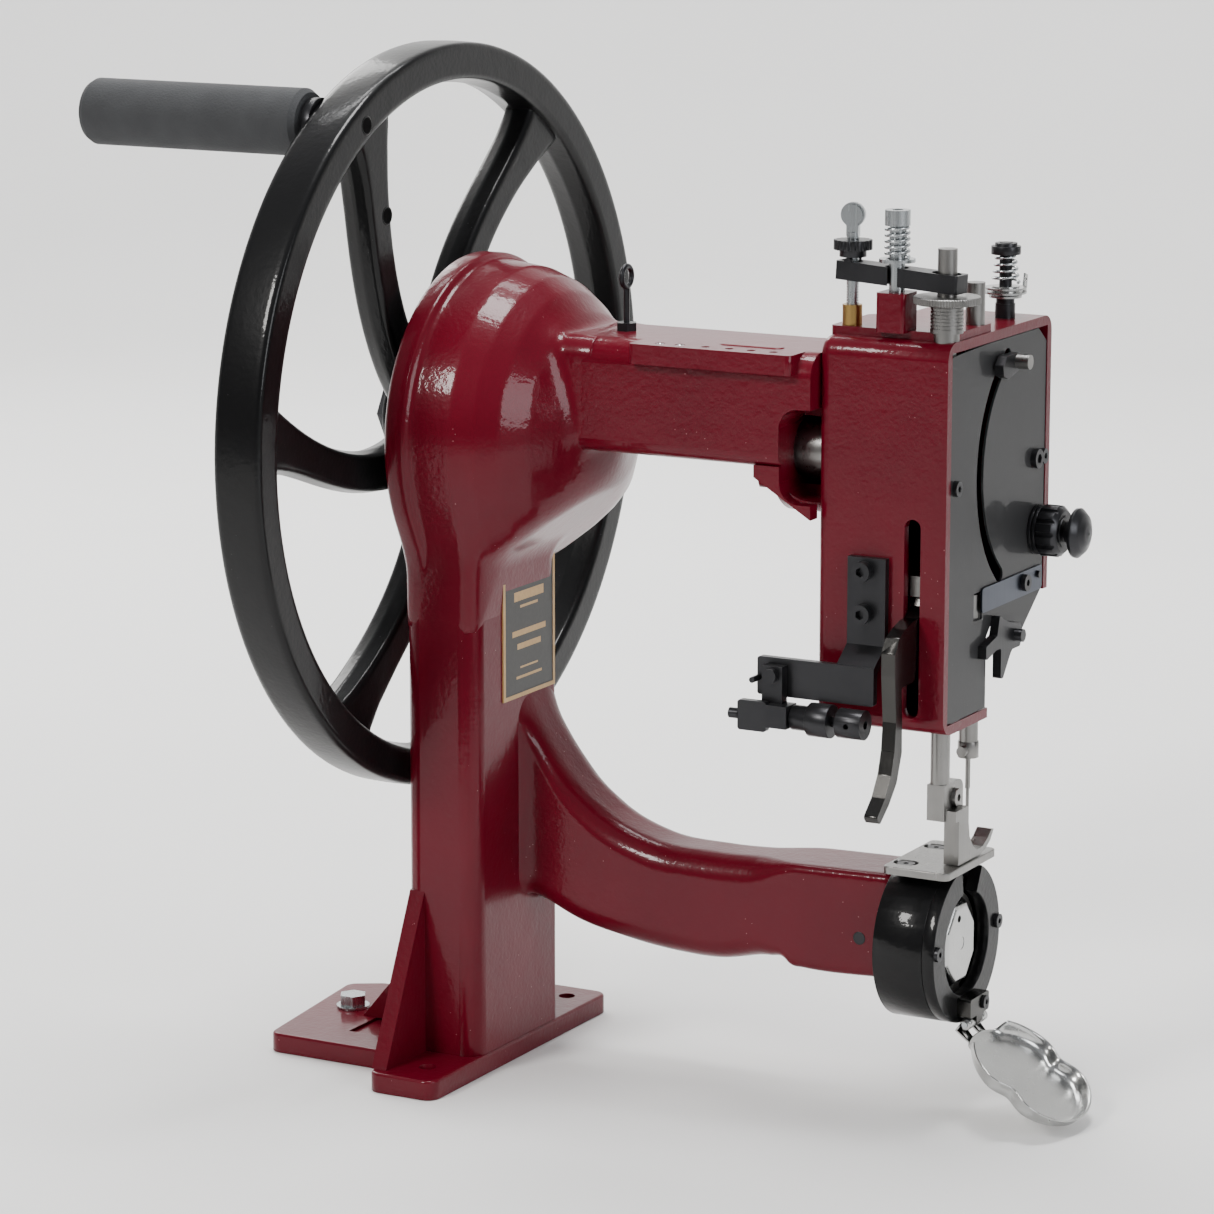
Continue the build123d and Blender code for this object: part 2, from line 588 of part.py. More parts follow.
def needle():
    shank = rod_z(1.25, 160, 184, bar_x, needle_y)
    blade = rod_z(0.85, 133, 160, bar_x, needle_y)
    point = Pos(bar_x, needle_y, 131.0) * Cone(0.15, 0.85, 4.0)
    eye = rod_x(0.4, bar_x - 2, bar_x + 2, needle_y, 137.5)
    return shank + blade + point - eye


# ---------------------------------------------------------------- presser foot and its lifter

def presser_bar():
    return rod_z(bar_r, 169.5, 431.4, bar_x, presser_y)


def presser_foot():
    """Block clamped on the bar by its screw, a leg stepped outwards and a toe that turns up."""
    x0, x1 = bar_x - 4.7, bar_x + 4.7
    y0 = presser_y - bar_r
    body = block(x0, x1, y0, y0 + 22, 151.5, 169.5)
    body = soften(body, [e for e in body.edges().filter_by(Axis.X) if e.center().Y > y0 + 20
                         and e.center().Z > 160], 5)
    leg = block(254, 262, 14, 25, plate_z + 0.4, 156)
    toe_low = plate_z + 0.4
    toe = slab_yz([(14, toe_low), (38, toe_low), (46, toe_low + 1.4), (52, toe_low + 4.6), (56, toe_low + 9.5),
                   (53.5, toe_low + 10), (49, toe_low + 6.5), (43, toe_low + 3.6), (36, toe_low + 3.2),
                   (31, toe_low + 6), (27, toe_low + 12), (25, toe_low + 22), (14, toe_low + 22)], 254, 262)
    bridge = block(x0, 262, 10.5, 25, 151.5, 157)
    screw = button_screw(4.6, 2.4, x1, 1.6, 21.5, 161.5, 2.2)
    foot = body + leg + toe + bridge - rod_x(2.4, x1 - 1.6, x1 + 1, 21.5, 161.5)
    return Compound(children=[foot, screw])


def lift_collar():
    """Clamp on the presser bar with a lug over the lifter's nose."""
    z0, z1 = 262, 272
    collar = rod_z(8.0, z0, z1, bar_x, presser_y)
    lug = block(lever_x - 4, bar_x, presser_y - 5, presser_y + 5, z0, z1)
    shape = collar + lug
    shape -= block(face_x0 - 0.9, 262, -5, 40, z0 - 1, z1 + 1)
    shape -= block(240, 262, -5, head_y0 + wall + 0.5, z0 - 1, z1 + 1)
    return shape - rod_z(bar_r, z0 - 1, z1 + 1, bar_x, presser_y)


lifter_y, lifter_z = 28.0, 254.0


def lifter_lever():
    """Flat hand lever: nose and pivot inside the head, shoulder and curved tail outside."""
    outline = [(9, 257.5), (10.5, 260.8), (13.5, 260.8), (30, 261), (33, 250), (24, 243), (14, 237),
               (2, 236), (-1.5, 222.5),
               (-15.8, 222), (-14.8, 208), (-14.5, 190), (-20, 176), (-28.4, 167), (-38.5, 159.3), (-42, 163),
               (-33, 171), (-26.5, 181), (-23, 192), (-21.5, 206), (-23.8, 229), (-23.8, 240), (-19, 247),
               (-12, 250), (-4, 252.3), (2, 252.9)]
    lever = slab_yz(outline, lever_x - 3.6, lever_x + 3.6)
    lever += rod_x(8.0, lever_x - 3.6, lever_x + 3.6, lifter_y, lifter_z)
    lever = soften(lever, [e for e in lever.edges().filter_by(Axis.X) if e.center().Y < 0], 1.5)
    return lever - rod_x(4.0 + run_gap, 230, 250, lifter_y, lifter_z)


def pivot_pins():
    """The lifter's pin across the head and the cover's hinge pin."""
    lifter = rod_x(4.0, head_x0 + wall, lever_x + 5.5, lifter_y, lifter_z)
    return Compound(children=[lifter, rod_y(1.5, shaft_y - 11.5, shaft_y + 11.5, hinge_x, hinge_z)])


# ---------------------------------------------------------------- presser regulator on top of the head

bar_tilt = 3.0
rock_z = 422.2          # line the pressure bar rocks on
bar_top_x0, bar_top_x1 = thumb_x - 6.5, bar_x + 8.0


def threaded_sleeve():
    """Screwed sleeve round the presser bar; the knurled disc locks it."""
    sleeve = rod_z(8.0, roof_z, 407, bar_x, presser_y)
    sleeve += rod_z(spigot_r, head_z1 - wall, roof_z, bar_x, presser_y)
    for i in range(8):
        z = roof_z + 2.2 + 1.7 * i
        sleeve -= rod_z(9, z, z + 0.6, bar_x, presser_y) - rod_z(7.4, z - 1, z + 2, bar_x, presser_y)
    return sleeve - rod_z(bar_r + run_gap, 300, 420, bar_x, presser_y)


def knurled_disc():
    disc = rod_z(16.3, 405.0, 408.6, bar_x, presser_y)
    disc -= rod_z(8.0, 404, 407, bar_x, presser_y)
    disc -= rod_z(bar_r + run_gap, 406, 410, bar_x, presser_y)
    for i in range(48):
        a = 2 * math.pi * i / 48
        disc -= rod_z(0.45, 404, 410, bar_x + 16.4 * math.cos(a), presser_y + 16.4 * math.sin(a))
    return disc


def pressure_bar():
    """Black bar from the thumb screw over the post to the presser bar, tipping down to the bar.
    A half-round rib on its top rocks against the lock nut."""
    angle = math.degrees(math.atan2(thumb_y - presser_y, bar_x - thumb_x))
    length = bar_top_x1 - bar_top_x0
    bar = block(bar_top_x0, bar_top_x1, thumb_y - 6.2, thumb_y + 6.2, 413.2, 422.2)
    bar = soften(bar, bar.edges().filter_by(Axis.Z), 1)
    bar = bar.rotate(Axis((thumb_x, thumb_y, 0), (0, 0, 1)), -angle)
    bar = bar.rotate(Axis((thumb_x, thumb_y, 414), (0, 1, 0)), bar_tilt)
    bar += rod_y(1.95, thumb_y - 6, thumb_y + 6, thumb_x, rock_z)
    for x in (thumb_x, thumb_x + 0.9, thumb_x - 0.9):
        bar -= rod_z(4.4, 395, 440, x, thumb_y)
    for x in (post_x, post_x + 1, post_x - 1):
        bar -= rod_z(4.9, 395, 440, x, presser_y)
    for x in (bar_x, bar_x - 2.2, bar_x + 1.4):
        bar -= rod_z(bar_r + 0.8, 395, 440, x, presser_y)
    return bar


def spring_screw():
    """Long socket-head screw down the pressure spring into the post."""
    screw = rod_z(3.9, 395, 441, post_x, presser_y) + rod_z(6.2, 441, 448.5, post_x, presser_y)
    return screw - hex_z(5, 444, 450, post_x, presser_y)


def pressure_spring():
    """Spring and its washer, between the screw's head and the pressure bar."""
    washer = rod_z(8.8, 423.4, 425.0, post_x, presser_y) - rod_z(5.1, 420, 426, post_x, presser_y)
    return Compound(children=[coil_z(5.6, 0.75, 425.0, 441.0, 5, post_x, presser_y), washer])


def thumb_screw():
    """Spade-headed screw: flat round grip, threaded shank."""
    spade = rod_y(6.0, thumb_y - 1.4, thumb_y + 1.4, thumb_x, 444.5)
    spade += rod_y(5.0, thumb_y - 2.2, thumb_y + 2.2, thumb_x, 444.5)
    spade += block(thumb_x - 3, thumb_x + 3, thumb_y - 2, thumb_y + 2, 434, 441)
    shank = rod_z(3.0, 385, 436, thumb_x, thumb_y)
    for i in range(14):
        z = 402.2 + 1.3 * i if i < 7 else 423.9 + 1.3 * (i - 7)
        shank -= rod_z(4, z, z + 0.5, thumb_x, thumb_y) - rod_z(2.5, z - 1, z + 2, thumb_x, thumb_y)
    return spade.rotate(Axis((thumb_x, thumb_y, 0), (0, 0, 1)), 12) + shank


def thumb_nut():
    """Knurled lock nut on the thumb screw: wide flange over a plain collar."""
    nut = rod_z(6.6, 424.2, 427.6, thumb_x, thumb_y) + rod_z(9.4, 427.6, 432.4, thumb_x, thumb_y)
    for i in range(20):
        a = 2 * math.pi * i / 20
        nut -= rod_z(0.9, 427, 433, thumb_x + 9.6 * math.cos(a), thumb_y + 9.6 * math.sin(a))
    return nut - rod_z(3.0, 420, 434, thumb_x, thumb_y)


def brass_sleeve():
    sleeve = rod_z(4.8, roof_z, 401.0, thumb_x, thumb_y) + rod_z(4.0, head_z1 - wall, roof_z, thumb_x, thumb_y)
    return sleeve - rod_z(3.0, 380, 402, thumb_x, thumb_y)


# ---------------------------------------------------------------- top thread tension

def top_stud():
    """Black stud and spacer of the top tension."""
    stud = rod_z(3.2, head_z1 - wall, 424.5, stud_x, stud_y)
    return stud + rod_z(5.0, head_z1, 394.2, stud_x, stud_y) + rod_z(4.6, 394.2, 397.2, stud_x, stud_y)


def top_bracket():
    """Nickel thread guide: washer with an upturned, drilled ear."""
    plate = rod_z(8.2, 397.2, 398.2, stud_x, stud_y)
    plate += block(stud_x - 4, stud_x + 4, stud_y + 4, stud_y + 17, 397.2, 398.2)
    ear = slab_yz([(stud_y + 13, 398.0), (stud_y + 17, 397.4), (stud_y + 18.5, 406.5), (stud_y + 15.5, 407.5)],
                  stud_x + 3.0, stud_x + 4.0)
    plate += ear + block(stud_x - 1, stud_x + 4, stud_y + 13, stud_y + 16.9, 397.2, 398.2)
    plate -= rod_x(1.1, stud_x, stud_x + 8, stud_y + 16.3, 404)
    return plate - rod_z(3.2, 390, 400, stud_x, stud_y)


def top_discs():
    """Nickel bracket and the pair of dished discs above it."""
    group = [top_bracket()]
    for z in (399.2, 401.4):
        disc = rod_z(10.6, z, z + 0.9, stud_x, stud_y) + rod_z(7, z - 0.6, z + 1.4, stud_x, stud_y)
        group.append(disc - rod_z(3.2, z - 2, z + 3, stud_x, stud_y))
    return Compound(children=group)


def top_spring():
    """Cone-shaped tension spring, wide end down on the discs."""
    turns, wire, z0, z1 = 4, 0.7, 404.6, 417.8
    steps = 24 * turns
    points = []
    for i in range(steps + 1):
        t = i / steps
        a = 2 * math.pi * turns * t
        radius = 6.6 - 1.8 * t
        points.append((stud_x + radius * math.cos(a), stud_y + radius * math.sin(a), z0 + (z1 - z0) * t))
    path = Spline(*points[::4])
    return sweep(Plane(origin=path @ 0, z_dir=path % 0) * Circle(wire), path=path, is_frenet=True)


def top_nut():
    """Knurled nut that sets the top tension."""
    nut = rod_z(7.4, 418.6, 422.6, stud_x, stud_y) + rod_z(5.6, 422.6, 424.2, stud_x, stud_y)
    return nut - rod_z(3.2 + run_gap, 417, 423.4, stud_x, stud_y) - rod_z(3.3, 420, 426, stud_x, stud_y)


# ---------------------------------------------------------------- edge guide

guide_y0, guide_y1 = -14.0, -10.0
guide_shaft_y, guide_shaft_z = -18.0, 202.0


def guide_bracket():
    """Black strap on the head's side, cranked outwards to a wide lower plate."""
    strap = block(208, 228.3, head_y0 - 4, head_y0, 236, 281)
    step = slab_yz([(head_y0 - 4, 238), (head_y0, 238), (head_y0, 236), (guide_y1, 226.5),
                    (guide_y1 - 1, 226.5), (guide_y0, 226.5), (guide_y0, 229)], 208, 228.3)
    plate = block(165.5, 228.3, guide_y0, guide_y1, 210.5, 229.5)
    plate = soften(plate, [e for e in plate.edges().filter_by(Axis.Y)], 1.5)
    shape = strap + step + plate
    for z in guide_screw_z:
        shape -= rod_y(3.0, -20, head_y0 + 1, guide_screw_x, z)
    shape -= rod_y(2.5, -20, 0, 176.5, 222)
    return shape.solids().sort_by(SortBy.VOLUME)[-1]


def socket_screw_y(x, y, z, head_r, head_h, shank_r, reach):
    """Socket-head cap screw along Y: head towards -Y, shank towards +Y."""
    screw = rod_y(head_r, y - head_h, y, x, z) + rod_y(shank_r, y, y + reach, x, z)
    socket = Plane(origin=(x, y - head_h, z), z_dir=(0, 1, 0)) * RegularPolygon(head_r * 0.5, 6)
    return screw - extrude(socket, head_h * 0.55)


def guide_screws():
    """Two socket screws of the strap, the block's clamp screw, its stop pin and the small cross bolt."""
    group = [socket_screw_y(guide_screw_x, head_y0 - 4, z, 4.9, 5.0, 3.0, 8.5) for z in guide_screw_z]
    clamp = rod_y(3.6, guide_shaft_y - 5.5, guide_shaft_y - 2, 176.5, 222)
    clamp += rod_y(2.5, guide_shaft_y - 2, guide_y1, 176.5, 222)
    stop = rod_y(1.5, guide_y0 - 8, guide_y0, 166.5, 219)
    bolt = rod_x(2.6, 155.5, 160.5, guide_shaft_y - 5.5, guide_shaft_z)
    return Compound(children=group + [clamp, stop, bolt])


def guide_block():
    """Pivot block with its left cheek, and the shaft with its end collar."""
    cheek = block(160.5, 176, guide_shaft_y - 7.5, guide_shaft_y - 3.5, 194.5, 209.5)
    cheek = soften(cheek, cheek.edges().filter_by(Axis.Y), 1.5)
    body = block(171, 187, guide_shaft_y - 7.5, guide_y0, 197, 208.2)
    body += block(171, 182, guide_shaft_y - 2, guide_y0 - 0.3, 206, 226.5)
    shape = cheek + body
    shape -= rod_x(2.5, 150, 200, guide_shaft_y, guide_shaft_z)
    shape -= rod_y(2.5, -30, 0, 176.5, 222)
    shaft = rod_x(2.5, 171, 226, guide_shaft_y, guide_shaft_z)
    collar = rod_x(7.3, 212.5, 226, guide_shaft_y, guide_shaft_z)
    collar -= rod_y(1.4, guide_shaft_y - 9, guide_shaft_y - 4, 219, guide_shaft_z)
    shaft = shaft + collar - hex_x(4, 223, 227, guide_shaft_y, guide_shaft_z)
    return Compound(children=[shape, shaft])


def guide_rollers():
    """Two-step roller that turns on the guide shaft."""
    roller = rod_x(6.2, 187.6, 196.8, guide_shaft_y, guide_shaft_z)
    roller += rod_x(8.3, 196.8, 208.4, guide_shaft_y, guide_shaft_z)
    return roller - rod_x(2.5 + run_gap, 180, 212, guide_shaft_y, guide_shaft_z)


# ---------------------------------------------------------------- shuttle, bobbin and cover

race_r = 33.0
shuttle_x0, shuttle_x1 = 240.0, 253.5
hinge_x, hinge_z = 265.4, shuttle_z - 38.5
cover_open = 126.0      # degrees from shut to its rest against the stop


def hook_barrel():
    """Black turned barrel with the shuttle race bored into it."""
    barrel = rod_x(barrel_r, barrel_x0, ring_x0, shaft_y, shuttle_z)
    barrel -= rod_x(race_r, barrel_x0 + 8, ring_x0 + 1, shaft_y, shuttle_z)
    barrel -= rod_x(8.0, barrel_x0 - 1, barrel_x0 + 9, shaft_y, shuttle_z)
    barrel -= block(200, 280, -20, 80, plate_z - 3.8, 140)
    barrel -= block(bar_x - 6, bar_x + 1.5, needle_y - 3.5, needle_y + 3.5, shuttle_z + 10, 140)
    return barrel


def hook_ring():
    """Front ring that keeps the shuttle in its race, open at the top for the needle and thread."""
    ring = rod_x(barrel_r, ring_x0, ring_x1, shaft_y, shuttle_z)
    ring -= rod_x(26, ring_x0 - 1, ring_x1 + 1, shaft_y, shuttle_z)
    ring -= block(200, 280, -20, 80, plate_z - 3.8, 140)
    notch = slab_yz([(shaft_y - 9, shuttle_z + 50), (shaft_y - 4, shuttle_z + 20), (shaft_y + 9, shuttle_z + 20),
                     (shaft_y + 24, shuttle_z + 50)], ring_x0 - 1, ring_x1 + 1)
    ring -= notch
    for side in (-1, 1):
        ring -= rod_x(2.0, ring_x0 - 1, ring_x1 + 1, shaft_y + side * 35.5, shuttle_z + 3)
    return ring


def hook_screws():
    """Screws of the ring, the needle plate and the hinge block."""
    group = [button_screw(3.6, 2.0, ring_x1, ring_x1 - ring_x0, shaft_y + side * 35.5, shuttle_z + 3, 1.8)
             for side in (-1, 1)]
    group.append(button_screw(3.4, 1.8, ring_x1 + 7.5, 1.0, shaft_y + 5, hinge_z + 8.4, 1.4))
    for y in plate_slot_y:
        screw = rod_z(4.4, plate_z - 1.5, plate_z - 0.3, plate_slot_x, y)
        screw += rod_z(2.0, plate_z - 3.8, plate_z - 1.5, plate_slot_x, y)
        group.append(screw - hex_z(2.6, plate_z - 0.9, plate_z + 1, plate_slot_x, y))
    return Compound(children=group)


def needle_plate():
    plate = block(228.2, 263.4, -2, 57, plate_z - 3.8, plate_z)
    plate = soften(plate, plate.edges().filter_by(Axis.Z), 3.5)
    plate = soften(plate, plate.faces().sort_by(Axis.Z)[-1].edges(), 0.6)
    for y in plate_slot_y:
        slot = block(plate_slot_x - 3.4, plate_slot_x + 3.4, y - 2.6, y + 2.6, plate_z - 5, plate_z + 1)
        plate -= soften(slot, slot.edges().filter_by(Axis.Z), 2.5)
        sink = block(plate_slot_x - 6.4, plate_slot_x + 6.4, y - 4.8, y + 4.8, plate_z - 1.6, plate_z + 1)
        plate -= soften(sink, sink.edges().filter_by(Axis.Z), 4.7)
    plate -= rod_z(1.8, plate_z - 5, plate_z + 1, bar_x, needle_y)
    return plate


plate_slot_x, plate_slot_y = 236.0, (9.5, 45.0)


def shuttle():
    """Oscillating shuttle: a ring with a beak, cut away where the needle comes down."""
    body = rod_x(race_r - 0.4, shuttle_x0, shuttle_x1, shaft_y, shuttle_z)
    body -= rod_x(22.5, shuttle_x0 + 3.5, shuttle_x1 + 1, shaft_y, shuttle_z)
    gap = slab_yz([(0, 0)] + [(45 * math.cos(math.radians(a)), 45 * math.sin(math.radians(a)))
                              for a in range(-72, 69, 10)], shuttle_x0 - 1, shuttle_x1 + 1)
    gap = Pos(0, shaft_y, shuttle_z) * gap
    gap -= rod_x(25.0, shuttle_x0 - 2, shuttle_x1 + 2, shaft_y, shuttle_z)
    body -= gap
    return body - rod_x(6.0, shuttle_x0 - 1, shuttle_x0 + 4, shaft_y, shuttle_z)


pinion_r, gear_module, pinion_teeth = 9.0, 1.5, 12
gear_x0, gear_x1 = -5.0, 5.0


def shuttle_shaft():
    """Shaft through the lower arm, its pinion cut on the column end with slim teeth for easy mesh."""
    root, tip = pinion_r - 1.9, pinion_r + 1.4
    points = []
    for k in range(pinion_teeth):
        centre = math.pi + 2 * math.pi * k / pinion_teeth
        for radius, half in ((root, 1.75), (pinion_r, 1.0), (tip, 0.45)):
            points.append((radius, centre - half / radius))
        for radius, half in ((tip, 0.45), (pinion_r, 1.0), (root, 1.75)):
            points.append((radius, centre + half / radius))
    outline = [(shaft_y + r * math.cos(a), shuttle_z + r * math.sin(a)) for r, a in points]
    return slab_yz(outline, gear_x0, gear_x1) + rod_x(6.0, gear_x0 - 6, shuttle_x0 + 3.4, shaft_y, shuttle_z)


def drive_rack():
    """Rod down the column: a roller in the cam groove above, rack teeth on the pinion below."""
    pitch = math.pi * gear_module
    line = shaft_y - pinion_r
    back = line - 9.0
    count = 15
    low = shuttle_z - 7.5 * pitch
    points = [(back, low - 3), (line - 2.0, low - 3)]
    for k in range(count):
        gap_mid = shuttle_z + (k - 7) * pitch
        tooth_mid = gap_mid + pitch / 2
        points.append((line - 2.0, tooth_mid - 1.55))
        points.append((line + 1.25, tooth_mid - 0.35))
        points.append((line + 1.25, tooth_mid + 0.35))
        points.append((line - 2.0, tooth_mid + 1.55))
    points += [(line - 2.0, roller_z + 5.5), (back, roller_z + 5.5)]
    rod = slab_yz(points, gear_x0 + 0.5, gear_x1 - 2)
    head = block(gear_x0 + 1.5, gear_x1 - 2, back, shaft_y + 6, roller_z - 5.5, roller_z + 5.5)
    head += rod_x(4.0, cam_x1 + 0.4, gear_x0 + 4, shaft_y, roller_z)
    return rod + head


def bobbin_case():
    """Bright folded case that holds the bobbin in the shuttle: eight-sided with a drilled slope."""
    r = 21.5
    sides = [(r * math.cos(math.radians(22.5 + 45 * i)) * 0.84, r * math.sin(math.radians(22.5 + 45 * i)))
             for i in range(8)]
    shell = Pos(0, shaft_y - 1, shuttle_z) * slab_yz(sides, 246.5, 258.5)
    shell = soften(shell, shell.faces().sort_by(Axis.X)[-1].edges(), 2.6)
    shell -= rod_x(16.8, 246, 256.5, shaft_y - 1, shuttle_z)
    shell -= rod_x(1.8, 250, 262, shaft_y - 4, shuttle_z + 13)
    return shell - rod_x(3.2 + run_gap, 250, 262, shaft_y - 1, shuttle_z)


def bobbin():
    """Bare spool on its pin inside the case."""
    spool = rod_x(16.2, 247.2, 248.2, shaft_y - 1, shuttle_z) + rod_x(16.2, 254.8, 255.8, shaft_y - 1, shuttle_z)
    spool += rod_x(5.5, 247.2, 255.8, shaft_y - 1, shuttle_z)
    return spool + rod_x(3.2, 255.8, 258.3, shaft_y - 1, shuttle_z)


def hinge_block():
    """Steel block screwed under the ring; the cover's knuckle turns on its pin."""
    body = block(ring_x1, ring_x1 + 7.5, shaft_y - 11, shaft_y + 11, hinge_z + 3.4, hinge_z + 13)
    body = soften(body, body.edges().filter_by(Axis.X), 1.5)
    lug = block(ring_x1 + 1.0, ring_x1 + 7.5, shaft_y - 3.6, shaft_y + 3.6, hinge_z - 2.8, hinge_z + 4)
    lug = soften(lug, [e for e in lug.edges().filter_by(Axis.Y) if e.center().Z < hinge_z], 2.6)
    shape = body + lug - rod_y(1.5, -20, 80, hinge_x, hinge_z)
    return shape - rod_x(1.8, ring_x1 + 6.5, ring_x1 + 8, shaft_y + 5, hinge_z + 8.4)


def cover_outline(grow):
    """Round lid with a scalloped flank, drawn flat and upright from its hinge."""
    points = []
    r = 37.0 + grow
    for i in range(48):
        a = math.radians(-90 + 7.5 * i)
        dent = 6.6 * math.exp(-((math.degrees(a) - 6) / 14.0) ** 2)
        dent += 6.6 * math.exp(-((math.degrees(a) - 174) / 14.0) ** 2)
        radius = r - dent
        points.append((shaft_y + radius * math.cos(a), hinge_z + 38.5 + (radius - 3.5) * math.sin(a)))
    return points


def hook_cover():
    """Stamped lid: a flat floor, a deep rolled rim and two knuckles on the hinge pin."""
    x = ring_x1 + 0.9
    outer = slab_yz(cover_outline(0), x, x + 9.5)
    top = outer.faces().sort_by(Axis.X)[-1]
    outer = soften(outer, top.edges(), 1.0)
    inner = slab_yz(cover_outline(-1.3), x - 1, x + 8.3)
    lid = outer - inner
    lid -= block(x - 5, x + 8.4, shaft_y - 13.5, shaft_y + 13.5, hinge_z - 5, hinge_z + 14.5)
    lid -= block(x - 5, x + 20, shaft_y - 4.2, shaft_y + 4.2, hinge_z - 6, hinge_z + 6)
    for y0, y1 in ((shaft_y - 10.5, shaft_y - 4.2), (shaft_y + 4.2, shaft_y + 10.5)):
        knuckle = rod_y(3.1, y0, y1, hinge_x, hinge_z)
        tail = block(hinge_x, x + 9.4, y0, y1, hinge_z - 2.2, hinge_z + 0.2)
        tail += block(x + 8.3, x + 9.4, y0, y1, hinge_z - 2.2, hinge_z + 8)
        lid += knuckle + tail
    lid -= rod_y(1.5 + run_gap, -20, 80, hinge_x, hinge_z)
    lid = lid.solids().sort_by(SortBy.VOLUME)[-1]
    return lid.rotate(Axis((hinge_x, 0, hinge_z), (0, 1, 0)), cover_open)


# ---------------------------------------------------------------- bench bolt

def bench_bolt():
    """Hexagon bolt and washer that hold the left foot to the bench."""
    x, y = bolt_spots[2]
    bolt = hex_z(12.7, base_t + 1.6, base_t + 7.2, x, y) + rod_z(3.9, 0.0, base_t + 1.6, x, y)
    washer = rod_z(8.7, base_t, base_t + 1.6, x, y) - rod_z(3.9, base_t - 1, base_t + 3, x, y)
    return Compound(children=[bolt, washer])


for maker in (base_plate, column, wheel_housing, upper_arm, lower_arm, head_casing, face_plate,
              face_plate_screws, thread_spring, thread_hook, take_up_lever, take_up_eye, tension_post,
              tension_knob, thread_eye, name_plate, bushes, housing_cover, bench_bolt,
              handwheel, main_shaft, shaft_cams, wheel_fasteners, handle_grip,
              needle_bar, needle_yoke, needle_clamp, needle,
              presser_bar, presser_foot, lift_collar, lifter_lever, pivot_pins,
              threaded_sleeve, knurled_disc, pressure_bar, spring_screw, pressure_spring,
              thumb_screw, thumb_nut, brass_sleeve, top_stud, top_discs, top_spring, top_nut,
              guide_bracket, guide_screws, guide_block, guide_rollers,
              hook_barrel, hook_ring, hook_screws, needle_plate, hinge_block, hook_cover,
              shuttle, shuttle_shaft, drive_rack, bobbin_case, bobbin):
    save(maker(), maker.__name__)

print(len(made), "sub-parts")
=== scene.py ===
import bpy
import math
import numpy as np
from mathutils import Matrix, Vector


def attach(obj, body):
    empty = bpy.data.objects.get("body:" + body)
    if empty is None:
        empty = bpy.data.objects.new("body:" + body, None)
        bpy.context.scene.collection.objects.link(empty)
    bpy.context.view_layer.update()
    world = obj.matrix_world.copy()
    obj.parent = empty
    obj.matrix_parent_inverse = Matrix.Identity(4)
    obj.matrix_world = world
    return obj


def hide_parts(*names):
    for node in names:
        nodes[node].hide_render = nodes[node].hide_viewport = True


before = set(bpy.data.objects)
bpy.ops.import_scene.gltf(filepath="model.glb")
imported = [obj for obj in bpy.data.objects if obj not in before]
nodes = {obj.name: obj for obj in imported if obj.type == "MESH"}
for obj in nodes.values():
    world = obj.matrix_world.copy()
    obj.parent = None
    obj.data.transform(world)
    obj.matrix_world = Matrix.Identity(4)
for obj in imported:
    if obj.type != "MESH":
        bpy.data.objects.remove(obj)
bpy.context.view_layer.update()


mm = 0.001


# Node group with the named outputs and no inputs.
def newGroup(name, outputs):
    group = bpy.data.node_groups.new(name, "ShaderNodeTree")
    for label, kind in outputs:
        group.interface.new_socket(label, in_out="OUTPUT", socket_type=kind)
    return group


# One link between named sockets.
def link(tree, fromNode, fromSocket, toNode, toSocket):
    tree.links.new(fromNode.outputs[fromSocket], toNode.inputs[toSocket])


# Adds a shader node and sets sockets by name or number, and plain settings by attribute name.
def node(tree, kind, **values):
    made = tree.nodes.new(kind)
    for key, value in values.items():
        if hasattr(made, key):
            setattr(made, key, value)
        else:
            made.inputs[key.replace("_", " ")].default_value = value
    return made


# One maths node; a and b are numbers or (node, socket) pairs.
def maths(tree, operation, a, b=None):
    made = tree.nodes.new("ShaderNodeMath")
    made.operation = operation
    for i, value in enumerate((a, b)):
        if isinstance(value, tuple):
            tree.links.new(value[0].outputs[value[1]], made.inputs[i])
        elif value is not None:
            made.inputs[i].default_value = value
    return made


# Noise on object coordinates, stretched by a mapping node.
def noiseField(tree, scale, detail, stretch=(1, 1, 1)):
    coords = node(tree, "ShaderNodeTexCoord")
    mapping = node(tree, "ShaderNodeMapping")
    mapping.inputs["Scale"].default_value = stretch
    noise = node(tree, "ShaderNodeTexNoise", Scale=scale, Detail=detail)
    link(tree, coords, "Object", mapping, "Vector")
    link(tree, mapping, "Vector", noise, "Vector")
    return noise


# Height of sprayed enamel: fine orange peel plus the slow waves of a sand casting, and a speck mask.
def castSurface():
    group = newGroup("castSurface", (("Height", "NodeSocketFloat"), ("Specks", "NodeSocketFloat"),
                                     ("Tone", "NodeSocketFloat")))
    out = node(group, "NodeGroupOutput")
    peel = noiseField(group, 420, 2)
    waves = noiseField(group, 90, 3)
    tone = noiseField(group, 14, 3)
    coords = node(group, "ShaderNodeTexCoord")
    cells = node(group, "ShaderNodeTexVoronoi", Scale=230)
    link(group, coords, "Object", cells, "Vector")
    patches = noiseField(group, 22, 1)
    speck = maths(group, "LESS_THAN", (cells, "Distance"), 0.06)
    patch = maths(group, "GREATER_THAN", (patches, "Fac"), 0.56)
    both = maths(group, "MULTIPLY", (speck, 0), (patch, 0))
    low = maths(group, "MULTIPLY", (waves, "Fac"), 1.6)
    total = maths(group, "ADD", (peel, "Fac"), (low, 0))
    link(group, total, 0, out, "Height")
    link(group, both, 0, out, "Specks")
    link(group, tone, "Fac", out, "Tone")
    return group


